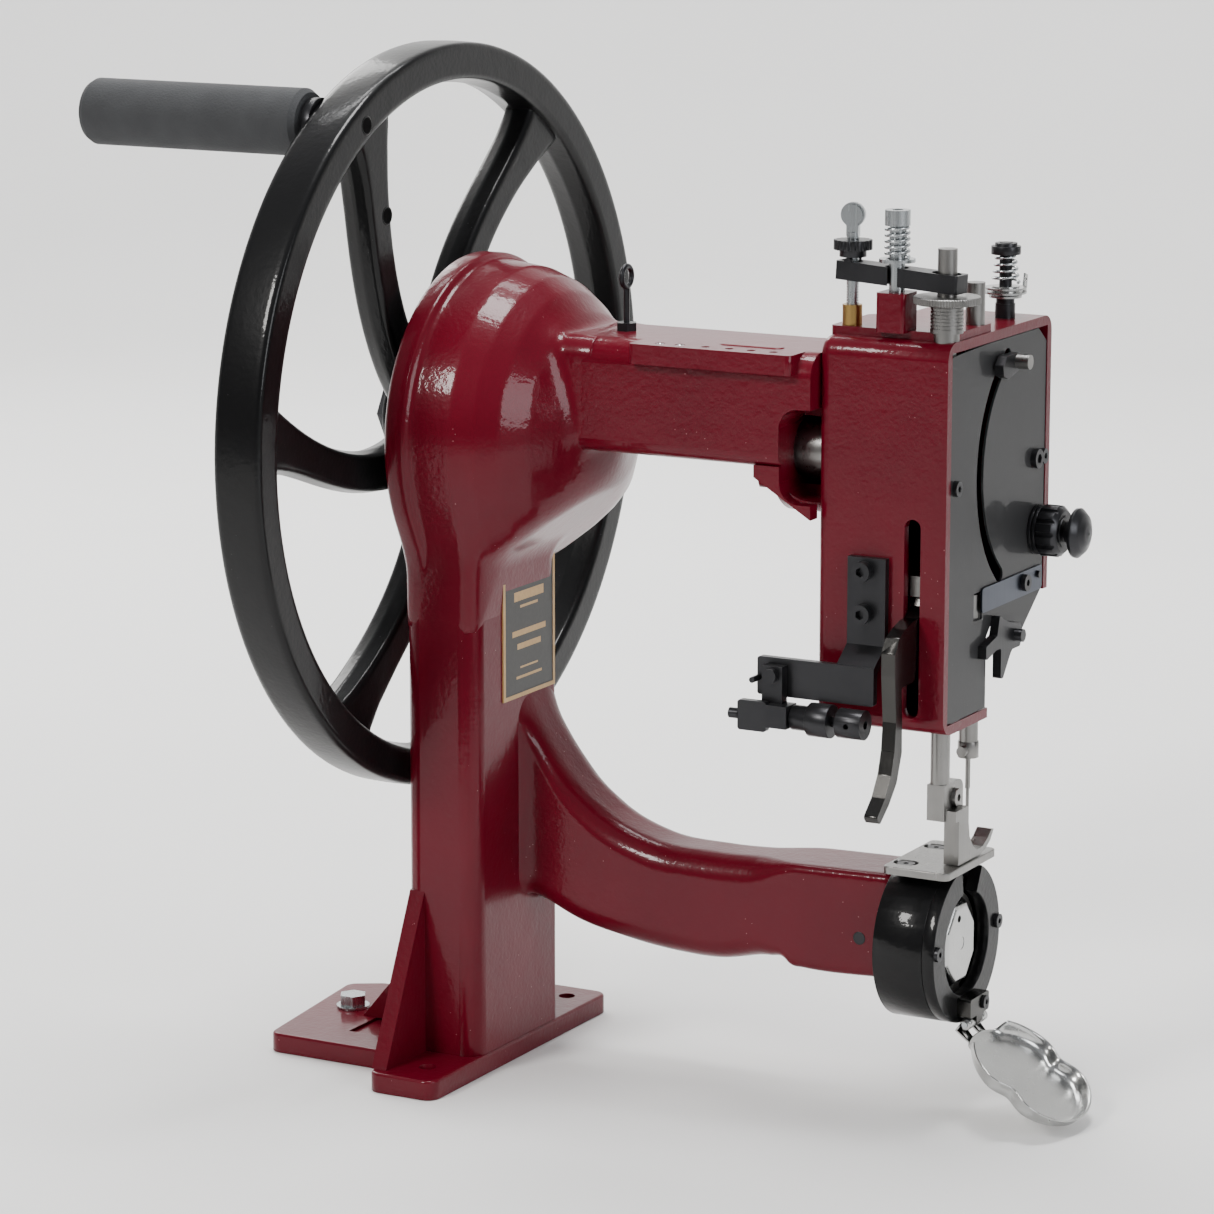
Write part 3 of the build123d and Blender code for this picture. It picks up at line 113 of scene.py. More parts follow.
# Fine grinding lines along one axis: noise squeezed hard across it, with a slow smudge beside.
def brushMarks():
    group = newGroup("brushMarks", (("Lines", "NodeSocketFloat"), ("Smudge", "NodeSocketFloat")))
    out = node(group, "NodeGroupOutput")
    lines = noiseField(group, 60, 3, (12, 12, 0.6))
    smudge = noiseField(group, 35, 3)
    link(group, lines, "Fac", out, "Lines")
    link(group, smudge, "Fac", out, "Smudge")
    return group


castGroup = castSurface()
brushGroup = brushMarks()


# Material with a principled shader wired to its output.
def newMaterial(name):
    material = bpy.data.materials.new(name)
    material.use_nodes = True
    tree = material.node_tree
    tree.nodes.clear()
    shader = node(tree, "ShaderNodeBsdfPrincipled")
    out = node(tree, "ShaderNodeOutputMaterial")
    link(tree, shader, "BSDF", out, "Surface")
    return material, tree, shader


# Instance of a shared effect.
def useGroup(tree, group):
    made = node(tree, "ShaderNodeGroup")
    made.node_tree = group
    return made


# Colour between low and high by the factor socket.
def mixColour(tree, factor, low, high):
    mix = node(tree, "ShaderNodeMix", data_type="RGBA")
    tree.links.new(factor, mix.inputs["Factor"])
    mix.inputs[6].default_value = (*low, 1)
    mix.inputs[7].default_value = (*high, 1)
    return mix


# Thick glossy enamel over a casting: tone drifts from low to high, specks sit in patches.
def enamel(name, low, high, speckTint, roughness, bump):
    material, tree, shader = newMaterial(name)
    cast = useGroup(tree, castGroup)
    tone = mixColour(tree, cast.outputs["Tone"], low, high)
    speck = node(tree, "ShaderNodeMix", data_type="RGBA")
    link(tree, cast, "Specks", speck, 0)
    tree.links.new(tone.outputs[2], speck.inputs[6])
    speck.inputs[7].default_value = (*speckTint, 1)
    tree.links.new(speck.outputs[2], shader.inputs["Base Color"])
    relief = node(tree, "ShaderNodeBump", Strength=bump, Distance=0.0004)
    link(tree, cast, "Height", relief, "Height")
    link(tree, relief, "Normal", shader, "Normal")
    link(tree, relief, "Normal", shader, "Coat Normal")
    shader.inputs["Roughness"].default_value = roughness
    shader.inputs["Specular IOR Level"].default_value = 0.1
    shader.inputs["Coat Weight"].default_value = 0.3
    shader.inputs["Coat Roughness"].default_value = 0.06
    return material


# Ground or plated metal: tint and roughness follow the brush lines and smudges.
def metal(name, low, high, roughLow, roughHigh, bump=0.12, metallic=1.0):
    material, tree, shader = newMaterial(name)
    brush = useGroup(tree, brushGroup)
    tone = mixColour(tree, brush.outputs["Smudge"], low, high)
    tree.links.new(tone.outputs[2], shader.inputs["Base Color"])
    span = maths(tree, "MULTIPLY_ADD", (brush, "Lines"), roughHigh - roughLow)
    span.inputs[2].default_value = roughLow
    link(tree, span, 0, shader, "Roughness")
    relief = node(tree, "ShaderNodeBump", Strength=bump, Distance=0.0002)
    link(tree, brush, "Lines", relief, "Height")
    link(tree, relief, "Normal", shader, "Normal")
    shader.inputs["Metallic"].default_value = metallic
    return material


# Closed-cell foam: small pits on a charcoal skin.
def foam(name):
    material, tree, shader = newMaterial(name)
    fine = noiseField(tree, 900, 3)
    broad = noiseField(tree, 60, 2)
    tone = mixColour(tree, broad.outputs["Fac"], (0.02, 0.021, 0.023), (0.045, 0.047, 0.05))
    tree.links.new(tone.outputs[2], shader.inputs["Base Color"])
    relief = node(tree, "ShaderNodeBump", Strength=0.55, Distance=0.0006)
    link(tree, fine, "Fac", relief, "Height")
    link(tree, relief, "Normal", shader, "Normal")
    shader.inputs["Roughness"].default_value = 0.85
    return material


# Black plate with a gold border and plain gold rules, drawn from the object's own Y and Z.
def plateLabel(name):
    v = {"y": 13.4 * mm, "z": 225.05 * mm, "halfY": 24.2 * mm, "halfZ": 33.1 * mm}
    material, tree, shader = newMaterial(name)
    coords = node(tree, "ShaderNodeTexCoord")
    split = node(tree, "ShaderNodeSeparateXYZ")
    link(tree, coords, "Object", split, "Vector")
    offY = maths(tree, "ABSOLUTE", (maths(tree, "SUBTRACT", (split, "Y"), v["y"]), 0))
    offZ = maths(tree, "ABSOLUTE", (maths(tree, "SUBTRACT", (split, "Z"), v["z"]), 0))
    sideBand = maths(tree, "GREATER_THAN", (offY, 0), v["halfY"])
    endBand = maths(tree, "GREATER_THAN", (offZ, 0), v["halfZ"])
    border = maths(tree, "MAXIMUM", (sideBand, 0), (endBand, 0))
    for level, half, thick in ((17.0, 15.0, 2.4), (11.5, 9.0, 0.7), (-2.0, 17.0, 1.5), (-9.0, 12.0, 1.5),
                               (-20.0, 9.0, 0.5), (-25.0, 13.0, 0.7)):
        above = maths(tree, "SUBTRACT", (split, "Z"), v["z"] + level * mm)
        near = maths(tree, "LESS_THAN", (maths(tree, "ABSOLUTE", (above, 0)), 0), thick * mm)
        short = maths(tree, "LESS_THAN", (offY, 0), half * mm)
        border = maths(tree, "MAXIMUM", (border, 0), (maths(tree, "MULTIPLY", (near, 0), (short, 0)), 0))
    grain = noiseField(tree, 500, 2)
    black = mixColour(tree, grain.outputs["Fac"], (0.012, 0.011, 0.01), (0.03, 0.028, 0.025))
    gold = mixColour(tree, grain.outputs["Fac"], (0.42, 0.25, 0.09), (0.55, 0.35, 0.14))
    both = node(tree, "ShaderNodeMix", data_type="RGBA")
    link(tree, border, 0, both, 0)
    tree.links.new(black.outputs[2], both.inputs[6])
    tree.links.new(gold.outputs[2], both.inputs[7])
    tree.links.new(both.outputs[2], shader.inputs["Base Color"])
    shader.inputs["Roughness"].default_value = 0.42
    return material


burgundy = enamel("burgundyEnamel", (0.075, 0.0012, 0.007), (0.13, 0.0025, 0.012), (0.32, 0.12, 0.13),
                  0.3, 0.3)
blackEnamel = enamel("blackEnamel", (0.003, 0.003, 0.0032), (0.006, 0.006, 0.0065), (0.03, 0.03, 0.03),
                     0.34, 0.22)
greyPlate = enamel("greyPlate", (0.02, 0.02, 0.021), (0.03, 0.03, 0.031), (0.05, 0.05, 0.05), 0.5, 0.05)
steel = metal("groundSteel", (0.17, 0.166, 0.16), (0.3, 0.295, 0.285), 0.18, 0.46)
zinc = metal("zincPlate", (0.36, 0.385, 0.4), (0.52, 0.54, 0.545), 0.16, 0.36, 0.06)
nickel = metal("satinNickel", (0.42, 0.425, 0.42), (0.56, 0.56, 0.55), 0.18, 0.32, 0.04)
brass = metal("brass", (0.34, 0.21, 0.07), (0.46, 0.3, 0.11), 0.24, 0.45)
blackSteel = metal("oiledBlackSteel", (0.018, 0.018, 0.02), (0.04, 0.04, 0.043), 0.26, 0.42, 0.08, 0.75)
gunMetal = metal("gunMetal", (0.04, 0.039, 0.037), (0.075, 0.073, 0.07), 0.16, 0.3, 0.03)
bluedSteel = metal("bluedSteel", (0.035, 0.042, 0.06), (0.075, 0.085, 0.11), 0.24, 0.4, 0.05)
# Near-black, rough, uncoated enamel: painted shade for the inside of the wheel's handle holes.
paintedShadeEnamel = enamel("paintedShadeEnamel", (0.0004, 0.0004, 0.0004), (0.001, 0.001, 0.001), (0.002, 0.002, 0.002),
                  0.9, 0.1)
paintedShadeEnamel.node_tree.nodes["Principled BSDF"].inputs["Coat Weight"].default_value = 0.0
foamSkin = foam("gripFoam")
label = plateLabel("plateLabel")

finishes = {
    burgundy: "base_plate column wheel_housing upper_arm lower_arm head_casing",
    blackEnamel: "handwheel hook_barrel hook_ring housing_cover",
    greyPlate: "face_plate",
    steel: "needle_bar needle_yoke needle_clamp needle presser_bar presser_foot lift_collar main_shaft "
           "shaft_cams shuttle shuttle_shaft drive_rack needle_plate take_up_eye bushes threaded_sleeve "
           "knurled_disc",
    zinc: "bench_bolt thumb_screw pressure_spring top_spring pivot_pins spring_screw",
    nickel: "hook_cover bobbin_case bobbin top_discs",
    brass: "brass_sleeve",
    blackSteel: "face_plate_screws hook_screws guide_screws wheel_fasteners guide_block guide_bracket "
                "guide_rollers pressure_bar thread_hook tension_post tension_knob thread_eye top_stud "
                "top_nut thumb_nut take_up_lever",
    gunMetal: "lifter_lever hinge_block",
    bluedSteel: "thread_spring",
    foamSkin: "handle_grip",
    label: "name_plate",
}
for material, names in finishes.items():
    for name in names.split():
        nodes[name].data.materials.clear()
        nodes[name].data.materials.append(material)
print("materials set")


# Welds corners closer than the gap, then rounds edges sharper than the angle in degrees.
def softEdges(name, width, gap=0.02, segments=2, angle=32):
    weld = nodes[name].modifiers.new("weld", "WELD")
    weld.merge_threshold = gap * mm
    bevel = nodes[name].modifiers.new("round", "BEVEL")
    bevel.width = width * mm
    bevel.segments = segments
    bevel.limit_method = "ANGLE"
    bevel.angle_limit = math.radians(angle)
    bevel.harden_normals = True


edgeWidths = {
    1.6: "base_plate column upper_arm",
    1.0: "head_casing",
    0.5: "hook_barrel hook_ring needle_plate guide_bracket pressure_bar presser_foot lifter_lever "
         "guide_block",
    0.25: "thread_hook tension_post tension_knob guide_rollers needle_clamp wheel_fasteners bench_bolt "
          "top_nut thumb_nut hinge_block",
}
for width, names in edgeWidths.items():
    for name in names.split():
        softEdges(name, width)
print("edges softened")


# Union of two distance fields with a fillet about k wide.
def smoothMin(a, b, k):
    h = np.clip(0.5 + 0.5 * (b - a) / k, 0, 1)
    return b * (1 - h) + a * h - k * h * (1 - h)


# Overlap of two distance fields, its edge rounded about k wide.
def smoothMax(a, b, k):
    return -smoothMin(-a, -b, k)


# Distance to a rectangle with corner radius r, centred at zero.
def roundBox(p, q, halfP, halfQ, r):
    dp, dq = np.abs(p) - halfP + r, np.abs(q) - halfQ + r
    return np.hypot(np.maximum(dp, 0), np.maximum(dq, 0)) + np.minimum(np.maximum(dp, dq), 0) - r


# Halves the span between zero and reach until field(radius) changes sign: the surface along each ray.
def solveRadius(field, shape, reach):
    low, high = np.zeros(shape), np.full(shape, reach)
    for _ in range(34):
        middle = (low + high) / 2
        inside = field(middle) < 0
        low = np.where(inside, middle, low)
        high = np.where(inside, high, middle)
    return (low + high) / 2


# Points from three arrays or numbers spread to one shape, stacked as (..., xyz).
def points3(x, y, z):
    return np.stack(np.broadcast_arrays(x, y, z), axis=-1).astype(float)


# Quads over rows of closed loops (rows, columns, xyz in mm); several grids make one mesh.
# A capped grid has each end drawn in to its centre, an uncapped one closes its last row on its first.
def gridMesh(name, grids, material, body, capped=True):
    grids = grids if isinstance(grids, list) else [grids]
    allPoints, allFaces, start = [], [], 0
    for grid in grids:
        points, faces = gridFaces(grid, capped)
        allPoints.append(points)
        allFaces.append(faces + start)
        start += len(points)
    points, faces = np.concatenate(allPoints), np.concatenate(allFaces)
    mesh = bpy.data.meshes.new(name)
    mesh.vertices.add(len(points))
    mesh.vertices.foreach_set("co", points.ravel())
    mesh.loops.add(faces.size)
    mesh.loops.foreach_set("vertex_index", faces.ravel())
    mesh.polygons.add(len(faces))
    mesh.polygons.foreach_set("loop_start", np.arange(len(faces)) * 4)
    mesh.polygons.foreach_set("use_smooth", np.ones(len(faces), bool))
    mesh.update(calc_edges=True)
    mesh.validate()
    mesh.materials.append(material)
    piece = bpy.data.objects.new(name, mesh)
    bpy.context.scene.collection.objects.link(piece)
    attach(piece, body)
    return piece


# Points in metres and outward quads of one grid; the sign of the enclosed volume settles the winding.
def gridFaces(grid, capped):
    if capped:
        first, last = grid[:1].mean(axis=1, keepdims=True), grid[-1:].mean(axis=1, keepdims=True)
        grid = np.concatenate([first + (grid[:1] - first) * 0.001, grid, last + (grid[-1:] - last) * 0.001])
    rows, columns = grid.shape[:2]
    r, c = np.meshgrid(np.arange(rows - 1 if capped else rows), np.arange(columns), indexing="ij")
    nextR, nextC = (r + 1) % rows, (c + 1) % columns
    faces = np.stack([r * columns + c, r * columns + nextC, nextR * columns + nextC, nextR * columns + c], -1)
    faces = faces.reshape(-1, 4)
    points = grid.reshape(-1, 3) * mm
    centred = points - points.mean(axis=0)
    a, b, c, d = (centred[faces[:, k]] for k in range(4))
    if ((a * np.cross(b, c)).sum() + (a * np.cross(c, d)).sum()) < 0:
        faces = faces[:, ::-1]
    return points, faces


# Bell behind the wheel: at each x the outline is where rays from the eye point leave the filleted union of
# the turned profile (cut by the sloping underside), the column's box and the arm's box.
def makeBell():
    v = {"axisY": 28.0, "axisZ": 324.0, "eyeZ": 335.0, "columns": 360, "low": 230.0,
         "back": -20.0, "lipRadius": 78.0, "inset": 3.8, "cutX": 21, "cutZ": 262, "cutRise": 0.668,
         "cutRun": 0.744, "postY": 1, "postHalfX": 21, "postHalfY": 42, "postCorner": 8, "postTop": 296,
         "armZ": 349.5, "armHalfY": 34, "armHalfZ": 28.5, "armCorner": 10, "armStart": 20,
         "cutFillet": 9, "postFillet": 9, "armFillet": 11,
         "profileX": [-20, -18.5, -17, -9, -7.5, -6.5, -3, 14, 26, 36, 46, 54, 59, 66, 74],
         "profileR": [85.5, 87.4, 88, 88, 87.2, 85.2, 84.5, 82.5, 78, 71, 59.5, 45, 34, 12, -20]}
    x = np.concatenate([[-20, -19.2, -18.2, -17, -13, -9.3, -8.6, -7.6, -7, -6, -4], np.linspace(-2, 68, 56)])
    angle = np.linspace(0, 2 * math.pi, v["columns"], endpoint=False)
    xx, aa = np.meshgrid(x, angle, indexing="ij")
    radius = np.interp(xx, v["profileX"], v["profileR"])

    # Distance to the filleted bell, post and arm; sink and fade let the joins slip under the plain castings.
    def field(reach):
        y, z = v["axisY"] + reach * np.cos(aa), v["eyeZ"] + reach * np.sin(aa)
        bell = np.hypot(y - v["axisY"], z - v["axisZ"]) - radius
        slope = (xx - v["cutX"]) * v["cutRise"] - (z - v["cutZ"]) * v["cutRun"]
        bell = smoothMax(bell, slope, v["cutFillet"])
        sink = 0.45 * np.clip((238 - z) / 8, 0, 1) - 0.15
        post = roundBox(xx, y - v["postY"], v["postHalfX"], v["postHalfY"], v["postCorner"])
        post = np.maximum(post, z - v["postTop"]) + sink
        fade = 0.6 * np.clip((xx - 60) / 8, 0, 1) - 0.2
        arm = roundBox(y - v["axisY"], z - v["armZ"], v["armHalfY"], v["armHalfZ"], v["armCorner"])
        arm = np.maximum(arm, v["armStart"] - xx) + fade
        whole = smoothMin(smoothMin(bell, post, v["postFillet"]), arm, v["armFillet"])
        return np.maximum(whole, v["low"] - z)

    reach = solveRadius(field, xx.shape, 140.0)
    grid = points3(xx, v["axisY"] + reach * np.cos(aa), v["eyeZ"] + reach * np.sin(aa))
    ring = points3(v["back"], v["axisY"] + v["lipRadius"] * np.cos(angle),
                   v["axisZ"] + v["lipRadius"] * np.sin(angle))
    inset = ring + np.array([v["inset"], 0, 0])
    grid = np.concatenate([inset[None], ring[None], grid])
    piece = gridMesh("bellCasting", grid, burgundy, "frame")
    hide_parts("wheel_housing")


# Smooth curve through a few points: Hermite pieces with slopes averaged from the neighbours.
def cubicThrough(xs, zs, x):
    xs, zs = np.array(xs, float), np.array(zs, float)
    slope = np.gradient(zs, xs)
    i = np.clip(np.searchsorted(xs, x) - 1, 0, len(xs) - 2)
    h = xs[i + 1] - xs[i]
    t = (x - xs[i]) / h
    return ((2 * t ** 3 - 3 * t ** 2 + 1) * zs[i] + (t ** 3 - 2 * t ** 2 + t) * h * slope[i]
            + (-2 * t ** 3 + 3 * t ** 2) * zs[i + 1] + (t ** 3 - t ** 2) * h * slope[i + 1])


# Lower arm: rounded box sections between a top and an underside curve, flared where they leave the column and
# squarer at the head end; a set screw sits flush in the squarer part.
def makeLowerArm():
    v = {"topX": [16, 22, 30, 41, 60, 90, 125, 165, 228],
         "topZ": [202, 184, 168, 151, 134, 121, 118.5, 120, 121.5],
         "lowX": [16, 22, 50, 76, 105, 131, 160, 169, 173, 180, 228],
         "lowZ": [88, 85.5, 73, 67.5, 64, 63.8, 69.6, 70.4, 67.8, 67.2, 68.2],
         "midY": 28.0, "half": 20.6, "corner": (13.0, 4.0), "columns": 160, "hole": (212.0, 87.5)}
    x = np.concatenate([np.linspace(16, 60, 50), np.linspace(61.5, 160, 44), np.linspace(161, 182, 30),
                        np.linspace(184, 228, 14)])
    angle = np.linspace(0, 2 * math.pi, v["columns"], endpoint=False)
    top, low = cubicThrough(v["topX"], v["topZ"], x), cubicThrough(v["lowX"], v["lowZ"], x)
    flare = 5.0 * np.exp(-np.maximum(x - 20.5, 0) / 3.5)
    top, low = top + flare * 0.6, low - flare * 0.5
    ease = np.clip((x - 18) / 26, 0, 1)
    far = 43.0 + 5.6 * ease ** 2 * (3 - 2 * ease)
    near = v["midY"] - v["half"] - flare
    xx, aa = np.meshgrid(x, angle, indexing="ij")
    halfZ, midZ = (top - low) / 2, (top + low) / 2
    halfY, midY = (far - near) / 2, (far + near) / 2
    square = np.clip((x - 148) / 30, 0, 1)
    corner = v["corner"][0] + (v["corner"][1] - v["corner"][0]) * square ** 2 * (3 - 2 * square)

    # Distance to the rounded box section at each x.
    def field(reach):
        across, up = reach * np.cos(aa), reach * np.sin(aa)
        return roundBox(across, up, halfY[:, None], halfZ[:, None], corner[:, None])

    reach = solveRadius(field, xx.shape, 120.0)
    grid = points3(xx, midY[:, None] + reach * np.cos(aa), midZ[:, None] + reach * np.sin(aa))
    piece = gridMesh("lowerArmCasting", grid, burgundy, "frame")
    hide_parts("lower_arm")
    a = np.linspace(0, 2 * math.pi, 40, endpoint=False)
    side = v["midY"] - v["half"]
    rows = [points3(v["hole"][0] + r * np.cos(a), side + y, v["hole"][1] + r * np.sin(a))
            for r, y in ((3.3, 0.4), (3.3, -0.02), (2.9, -0.1), (2.5, -0.06), (1.3, -0.03), (1.1, -0.03))]
    gridMesh("armSetScrew", np.stack(rows), blackSteel, "frame")


# Profile rows of (x, radius) turned about the X-wise line through (y, z).
def spun(profile, y, z, count=96):
    angle = np.linspace(0, 2 * math.pi, count, endpoint=False)
    x, r = np.array(profile, float).T
    return points3(x[:, None], y + r[:, None] * np.cos(angle), z + r[:, None] * np.sin(angle))


# Handwheel: a crowned rim whose inner side rises to a parting ridge, a turned hub and bent spokes whose
# flanks rise to the same ridge and widen into the rim; a rolled lip marks each handle hole, and a near-black
# disc inside it is painted shade standing in for the hole's shadowed inside.
def makeWheel():
    v = {"y": 28.0, "z": 327.0, "mid": -39.5, "half": 13.0, "rim": 180.0, "outer": 190.5, "inner": 169.5,
         "spokeHalf": 8.6, "width": 10.8, "bend": 34.0, "hub": 24.0, "handle": (-60.9, 484.0), "spokes": 6,
         "lead": 4.0, "rimHole": 179.5, "spokeHole": 126.0, "spokeHoleTurn": 4.5}
    first = math.atan2(v["handle"][1] - v["z"], v["handle"][0] - v["y"]) - math.radians(v["lead"])
    turn = np.linspace(0, 2 * math.pi, 288, endpoint=False)
    section = np.linspace(0, 2 * math.pi, 56, endpoint=False)

    # Distance to the rim's section: two flat sides, a crowned outside and a ridged inside.
    def rimField(reach):
        x, r = reach * np.cos(section), v["rim"] + reach * np.sin(section)
        side = np.abs(x) - v["half"]
        out = r - v["outer"] + 0.5 * (x / v["half"]) ** 2
        inner = v["inner"] + 2.6 * np.abs(x) / v["half"] - r
        return smoothMax(smoothMax(side, out, 2.6), inner, 2.2)

    reach = solveRadius(rimField, section.shape, 30.0)
    x, r = v["mid"] + reach * np.cos(section), v["rim"] + reach * np.sin(section)
    rim = points3(x, v["y"] + np.cos(turn)[:, None] * r, v["z"] + np.sin(turn)[:, None] * r)
    hub = spun([(-58.5, 9), (-58.5, 24.6), (-57.6, 26.2), (-56, 27), (-28.5, 27), (-27, 26), (-26.5, 24.5),
                (-26.5, 9)], v["y"], v["z"])
    spokes = []
    t = np.linspace(0, 1, 60)[:, None]
    along = v["hub"] + (v["inner"] + 4 - v["hub"]) * t
    wide = v["width"] * (1 + 0.9 * t ** 7 + 0.35 * (1 - t) ** 4)

    # Distance to a spoke's section: flanks that rise to the ridge between two faces.
    def spokeField(reach):
        across, x = reach * np.cos(section), reach * np.sin(section)
        flank = np.abs(across) - wide * (1 - 0.17 * np.abs(x) / v["spokeHalf"])
        return smoothMax(flank, np.abs(x) - v["spokeHalf"], 2.4)

    reach = solveRadius(spokeField, (60, len(section)), 40.0)
    across, x = reach * np.cos(section), v["mid"] + reach * np.sin(section)
    for k in range(v["spokes"]):
        angle = first + 2 * math.pi * k / v["spokes"] + math.radians(v["bend"]) * (1 - t) ** 1.4
        spokes.append(points3(x, v["y"] + along * np.cos(angle) - across * np.sin(angle),
                              v["z"] + along * np.sin(angle) + across * np.cos(angle)))
    ring = gridMesh("wheelRim", rim, blackEnamel, "wheel", capped=False)
    arms = gridMesh("wheelSpokes", [hub] + spokes, blackEnamel, "wheel")
    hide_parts("handwheel")
    for reachOut, turned, half in ((v["rimHole"], v["lead"], v["half"]),
                                   (v["spokeHole"], v["spokeHoleTurn"], v["spokeHalf"])):
        face = v["mid"] + half
        angle = first + math.radians(turned)
        y, z = v["y"] + reachOut * math.cos(angle), v["z"] + reachOut * math.sin(angle)
        lip = spun([(face - 1, 4.9), (face + 0.02, 4.8), (face + 0.3, 4.3), (face + 0.06, 3.9),
                    (face + 0.03, 3.7)], y, z, 40)
        gridMesh("holeLip", lip, blackEnamel, "wheel")
        # Near-black plug filling the hole to just proud of the face: painted shade for the hole's shadowed
        # inside.
        shadeDisc = spun([(face - 1, 3.95), (face + 0.12, 3.95), (face + 0.13, 3.7)], y, z, 40)
        gridMesh("paintedHoleShade", shadeDisc, paintedShadeEnamel, "wheel")


# Turns points about the Y-wise line through (x, z).
def turnAbout(grid, degrees, x, z):
    c, s = math.cos(math.radians(degrees)), math.sin(math.radians(degrees))
    dx, dz = grid[..., 0] - x, grid[..., 2] - z
    return points3(x + dx * c + dz * s, grid[..., 1], z - dx * s + dz * c)


# Stamped lid: flat floor, curved flank, wavy rim turned outwards, then the same path back on the outside. Two
# dents clear the ring's screws, the flank fades out over the hinge block, and two straps hold the knuckles.
def makeLid():
    v = {"y": 28.0, "hingeX": 265.4, "hingeZ": 48.0, "x": 261.9, "r": 36.2, "open": 126.0, "depth": 8.6,
         "skin": 0.8, "rise": 38.5}
    angle = np.linspace(0, 2 * math.pi, 180, endpoint=False)
    degrees = (np.degrees(angle) + 180) % 360 - 180
    dent = sum(6.6 * np.exp(-(((degrees - at + 180) % 360 - 180) / 14.0) ** 2) for at in (6, 174))
    wall = 1 - 0.93 * np.clip((31 - np.abs(degrees + 90)) / 6, 0, 1)
    outline = v["r"] - dent
    wave = 1.0 + 0.9 * np.cos(3 * angle + 0.6)
    inner = [(0.02, 0.0), (0.5, 0.0), (0.8, 0.0), (0.87, -0.3), (0.92, -1.2), (0.955, -3.0), (0.97, -5.4),
             (0.985, -7.6)]
    grid = []
    for share, lift in inner:
        depth = v["depth"] + lift * wall * (1 - 0.12 * wave)
        grid.append((v["x"] + depth, outline * share))
    rimX = grid[-1][0]
    for push, lift in ((0.8, 0.0), (1.2, 0.45), (1.0, 1.1)):
        grid.append((rimX - 0.5 * wall + lift * wall, outline * inner[-1][0] + push))
    for share, lift in inner[::-1]:
        depth = v["depth"] + v["skin"] + lift * wall * (1 - 0.12 * wave)
        grid.append((v["x"] + depth, outline * share + v["skin"] * min(1.0, abs(lift))))
    x = np.stack([row[0] for row in grid])
    r = np.stack([row[1] for row in grid])
    squash = 1 - 3.5 / v["r"]
    parts = [points3(x, v["y"] + r * np.cos(angle), v["hingeZ"] + v["rise"] + r * squash * np.sin(angle))]
    for y0, y1 in ((17.6, 23.7), (32.3, 38.4)):
        a = np.linspace(0, 2 * math.pi, 32, endpoint=False)
        rows = [points3(v["hingeX"] + k * np.cos(a), y, v["hingeZ"] + k * np.sin(a))
                for y, k in ((y0, 2.5), (y0 + 0.4, 3.0), (y1 - 0.4, 3.0), (y1, 2.5))]
        parts.append(np.stack(rows))
        strap, floorX = [], v["x"] + v["depth"]
        for y in (y0, y0 + 0.3, y1 - 0.3, y1):
            shrink = 0.3 if y in (y0, y1) else 0.0
            strap.append([(v["hingeX"] + shrink, y, v["hingeZ"] - 2.4 + shrink),
                          (floorX + 1.2 - shrink, y, v["hingeZ"] - 2.4 + shrink),
                          (floorX + 1.2 - shrink, y, v["hingeZ"] + 7 - shrink),
                          (floorX + 0.2, y, v["hingeZ"] + 7 - shrink),
                          (floorX + 0.2, y, v["hingeZ"] - 1.2 - shrink),
                          (v["hingeX"] + shrink, y, v["hingeZ"] - 1.2 - shrink)])
        parts.append(np.array(strap))
    opened = [turnAbout(part, v["open"], v["hingeX"], v["hingeZ"]) for part in parts]
    piece = gridMesh("lidShell", opened, nickel, "lid")
    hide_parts("hook_cover")


# Lock disc: a closed profile of (z, radius) turned about the presser bar, its rim waved by the knurl.
def makeLockDisc():
    v = {"x": 251.5, "y": 13.9, "rim": 16.15, "knurl": 0.14, "teeth": 72}
    a = np.linspace(0, 2 * math.pi, 720, endpoint=False)
    rows = []
    for z, r, wavy in ((405.0, 8.2, 0), (405.0, 15.7, 0), (405.35, v["rim"], 1), (408.25, v["rim"], 1),
                       (408.6, 15.7, 0), (408.6, 4.95, 0), (407.1, 4.95, 0), (407.1, 8.2, 0)):
        reach = r + wavy * v["knurl"] * np.cos(v["teeth"] * a)
        rows.append(points3(v["x"] + reach * np.cos(a), v["y"] + reach * np.sin(a), z))
    piece = gridMesh("lockDisc", np.stack(rows), steel, "lock_disc", capped=False)
    piece.data.polygons.foreach_set("use_smooth", np.zeros(len(piece.data.polygons), bool))
    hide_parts("knurled_disc")


# Two bright set screws in the pad and a plain raised bar beside its row of holes.
def makePadDetails():
    v = {"z": 378.0, "screwX": (106, 117), "screwY": -4.0, "bar": (150, 9, 17, 3.4)}
    a = np.linspace(0, 2 * math.pi, 40, endpoint=False)
    for x in v["screwX"]:
        rows = [points3(x + r * np.cos(a), v["screwY"] + r * np.sin(a), v["z"] + h)
                for r, h in ((2.55, -3.0), (2.55, -0.5), (2.2, -0.15), (1.1, -0.15), (0.9, -1.6))]
        gridMesh("padScrew", np.stack(rows), zinc, "frame")
    cx, cy, halfX, halfY = v["bar"]
    rows = []
    for grow, h in ((0.5, -0.3), (0.3, 0.05), (0.0, 0.35), (-0.7, 0.5), (-1.5, 0.5)):
        r = halfY + grow
        side = np.where(np.cos(a) >= 0, halfX - halfY, halfY - halfX)
        rows.append(points3(cx + side + r * np.cos(a), cy + r * np.sin(a), v["z"] + h))
    gridMesh("padBar", np.stack(rows), burgundy, "frame")


makeBell()
makeLowerArm()
makeWheel()
makeLid()
makePadDetails()
makeLockDisc()
print("castings made")


# Square soft light that faces its aim point.
def makeArea(name, place, aim, size, power, tint):
    lamp = bpy.data.lights.new(name, "AREA")
    lamp.size = size
    lamp.energy = power
    lamp.color = tint
    lampObject = bpy.data.objects.new(name, lamp)
    lampObject.location = place
    lampObject.rotation_euler = (Vector(aim) - Vector(place)).to_track_quat("-Z", "Y").to_euler()
    bpy.context.scene.collection.objects.link(lampObject)


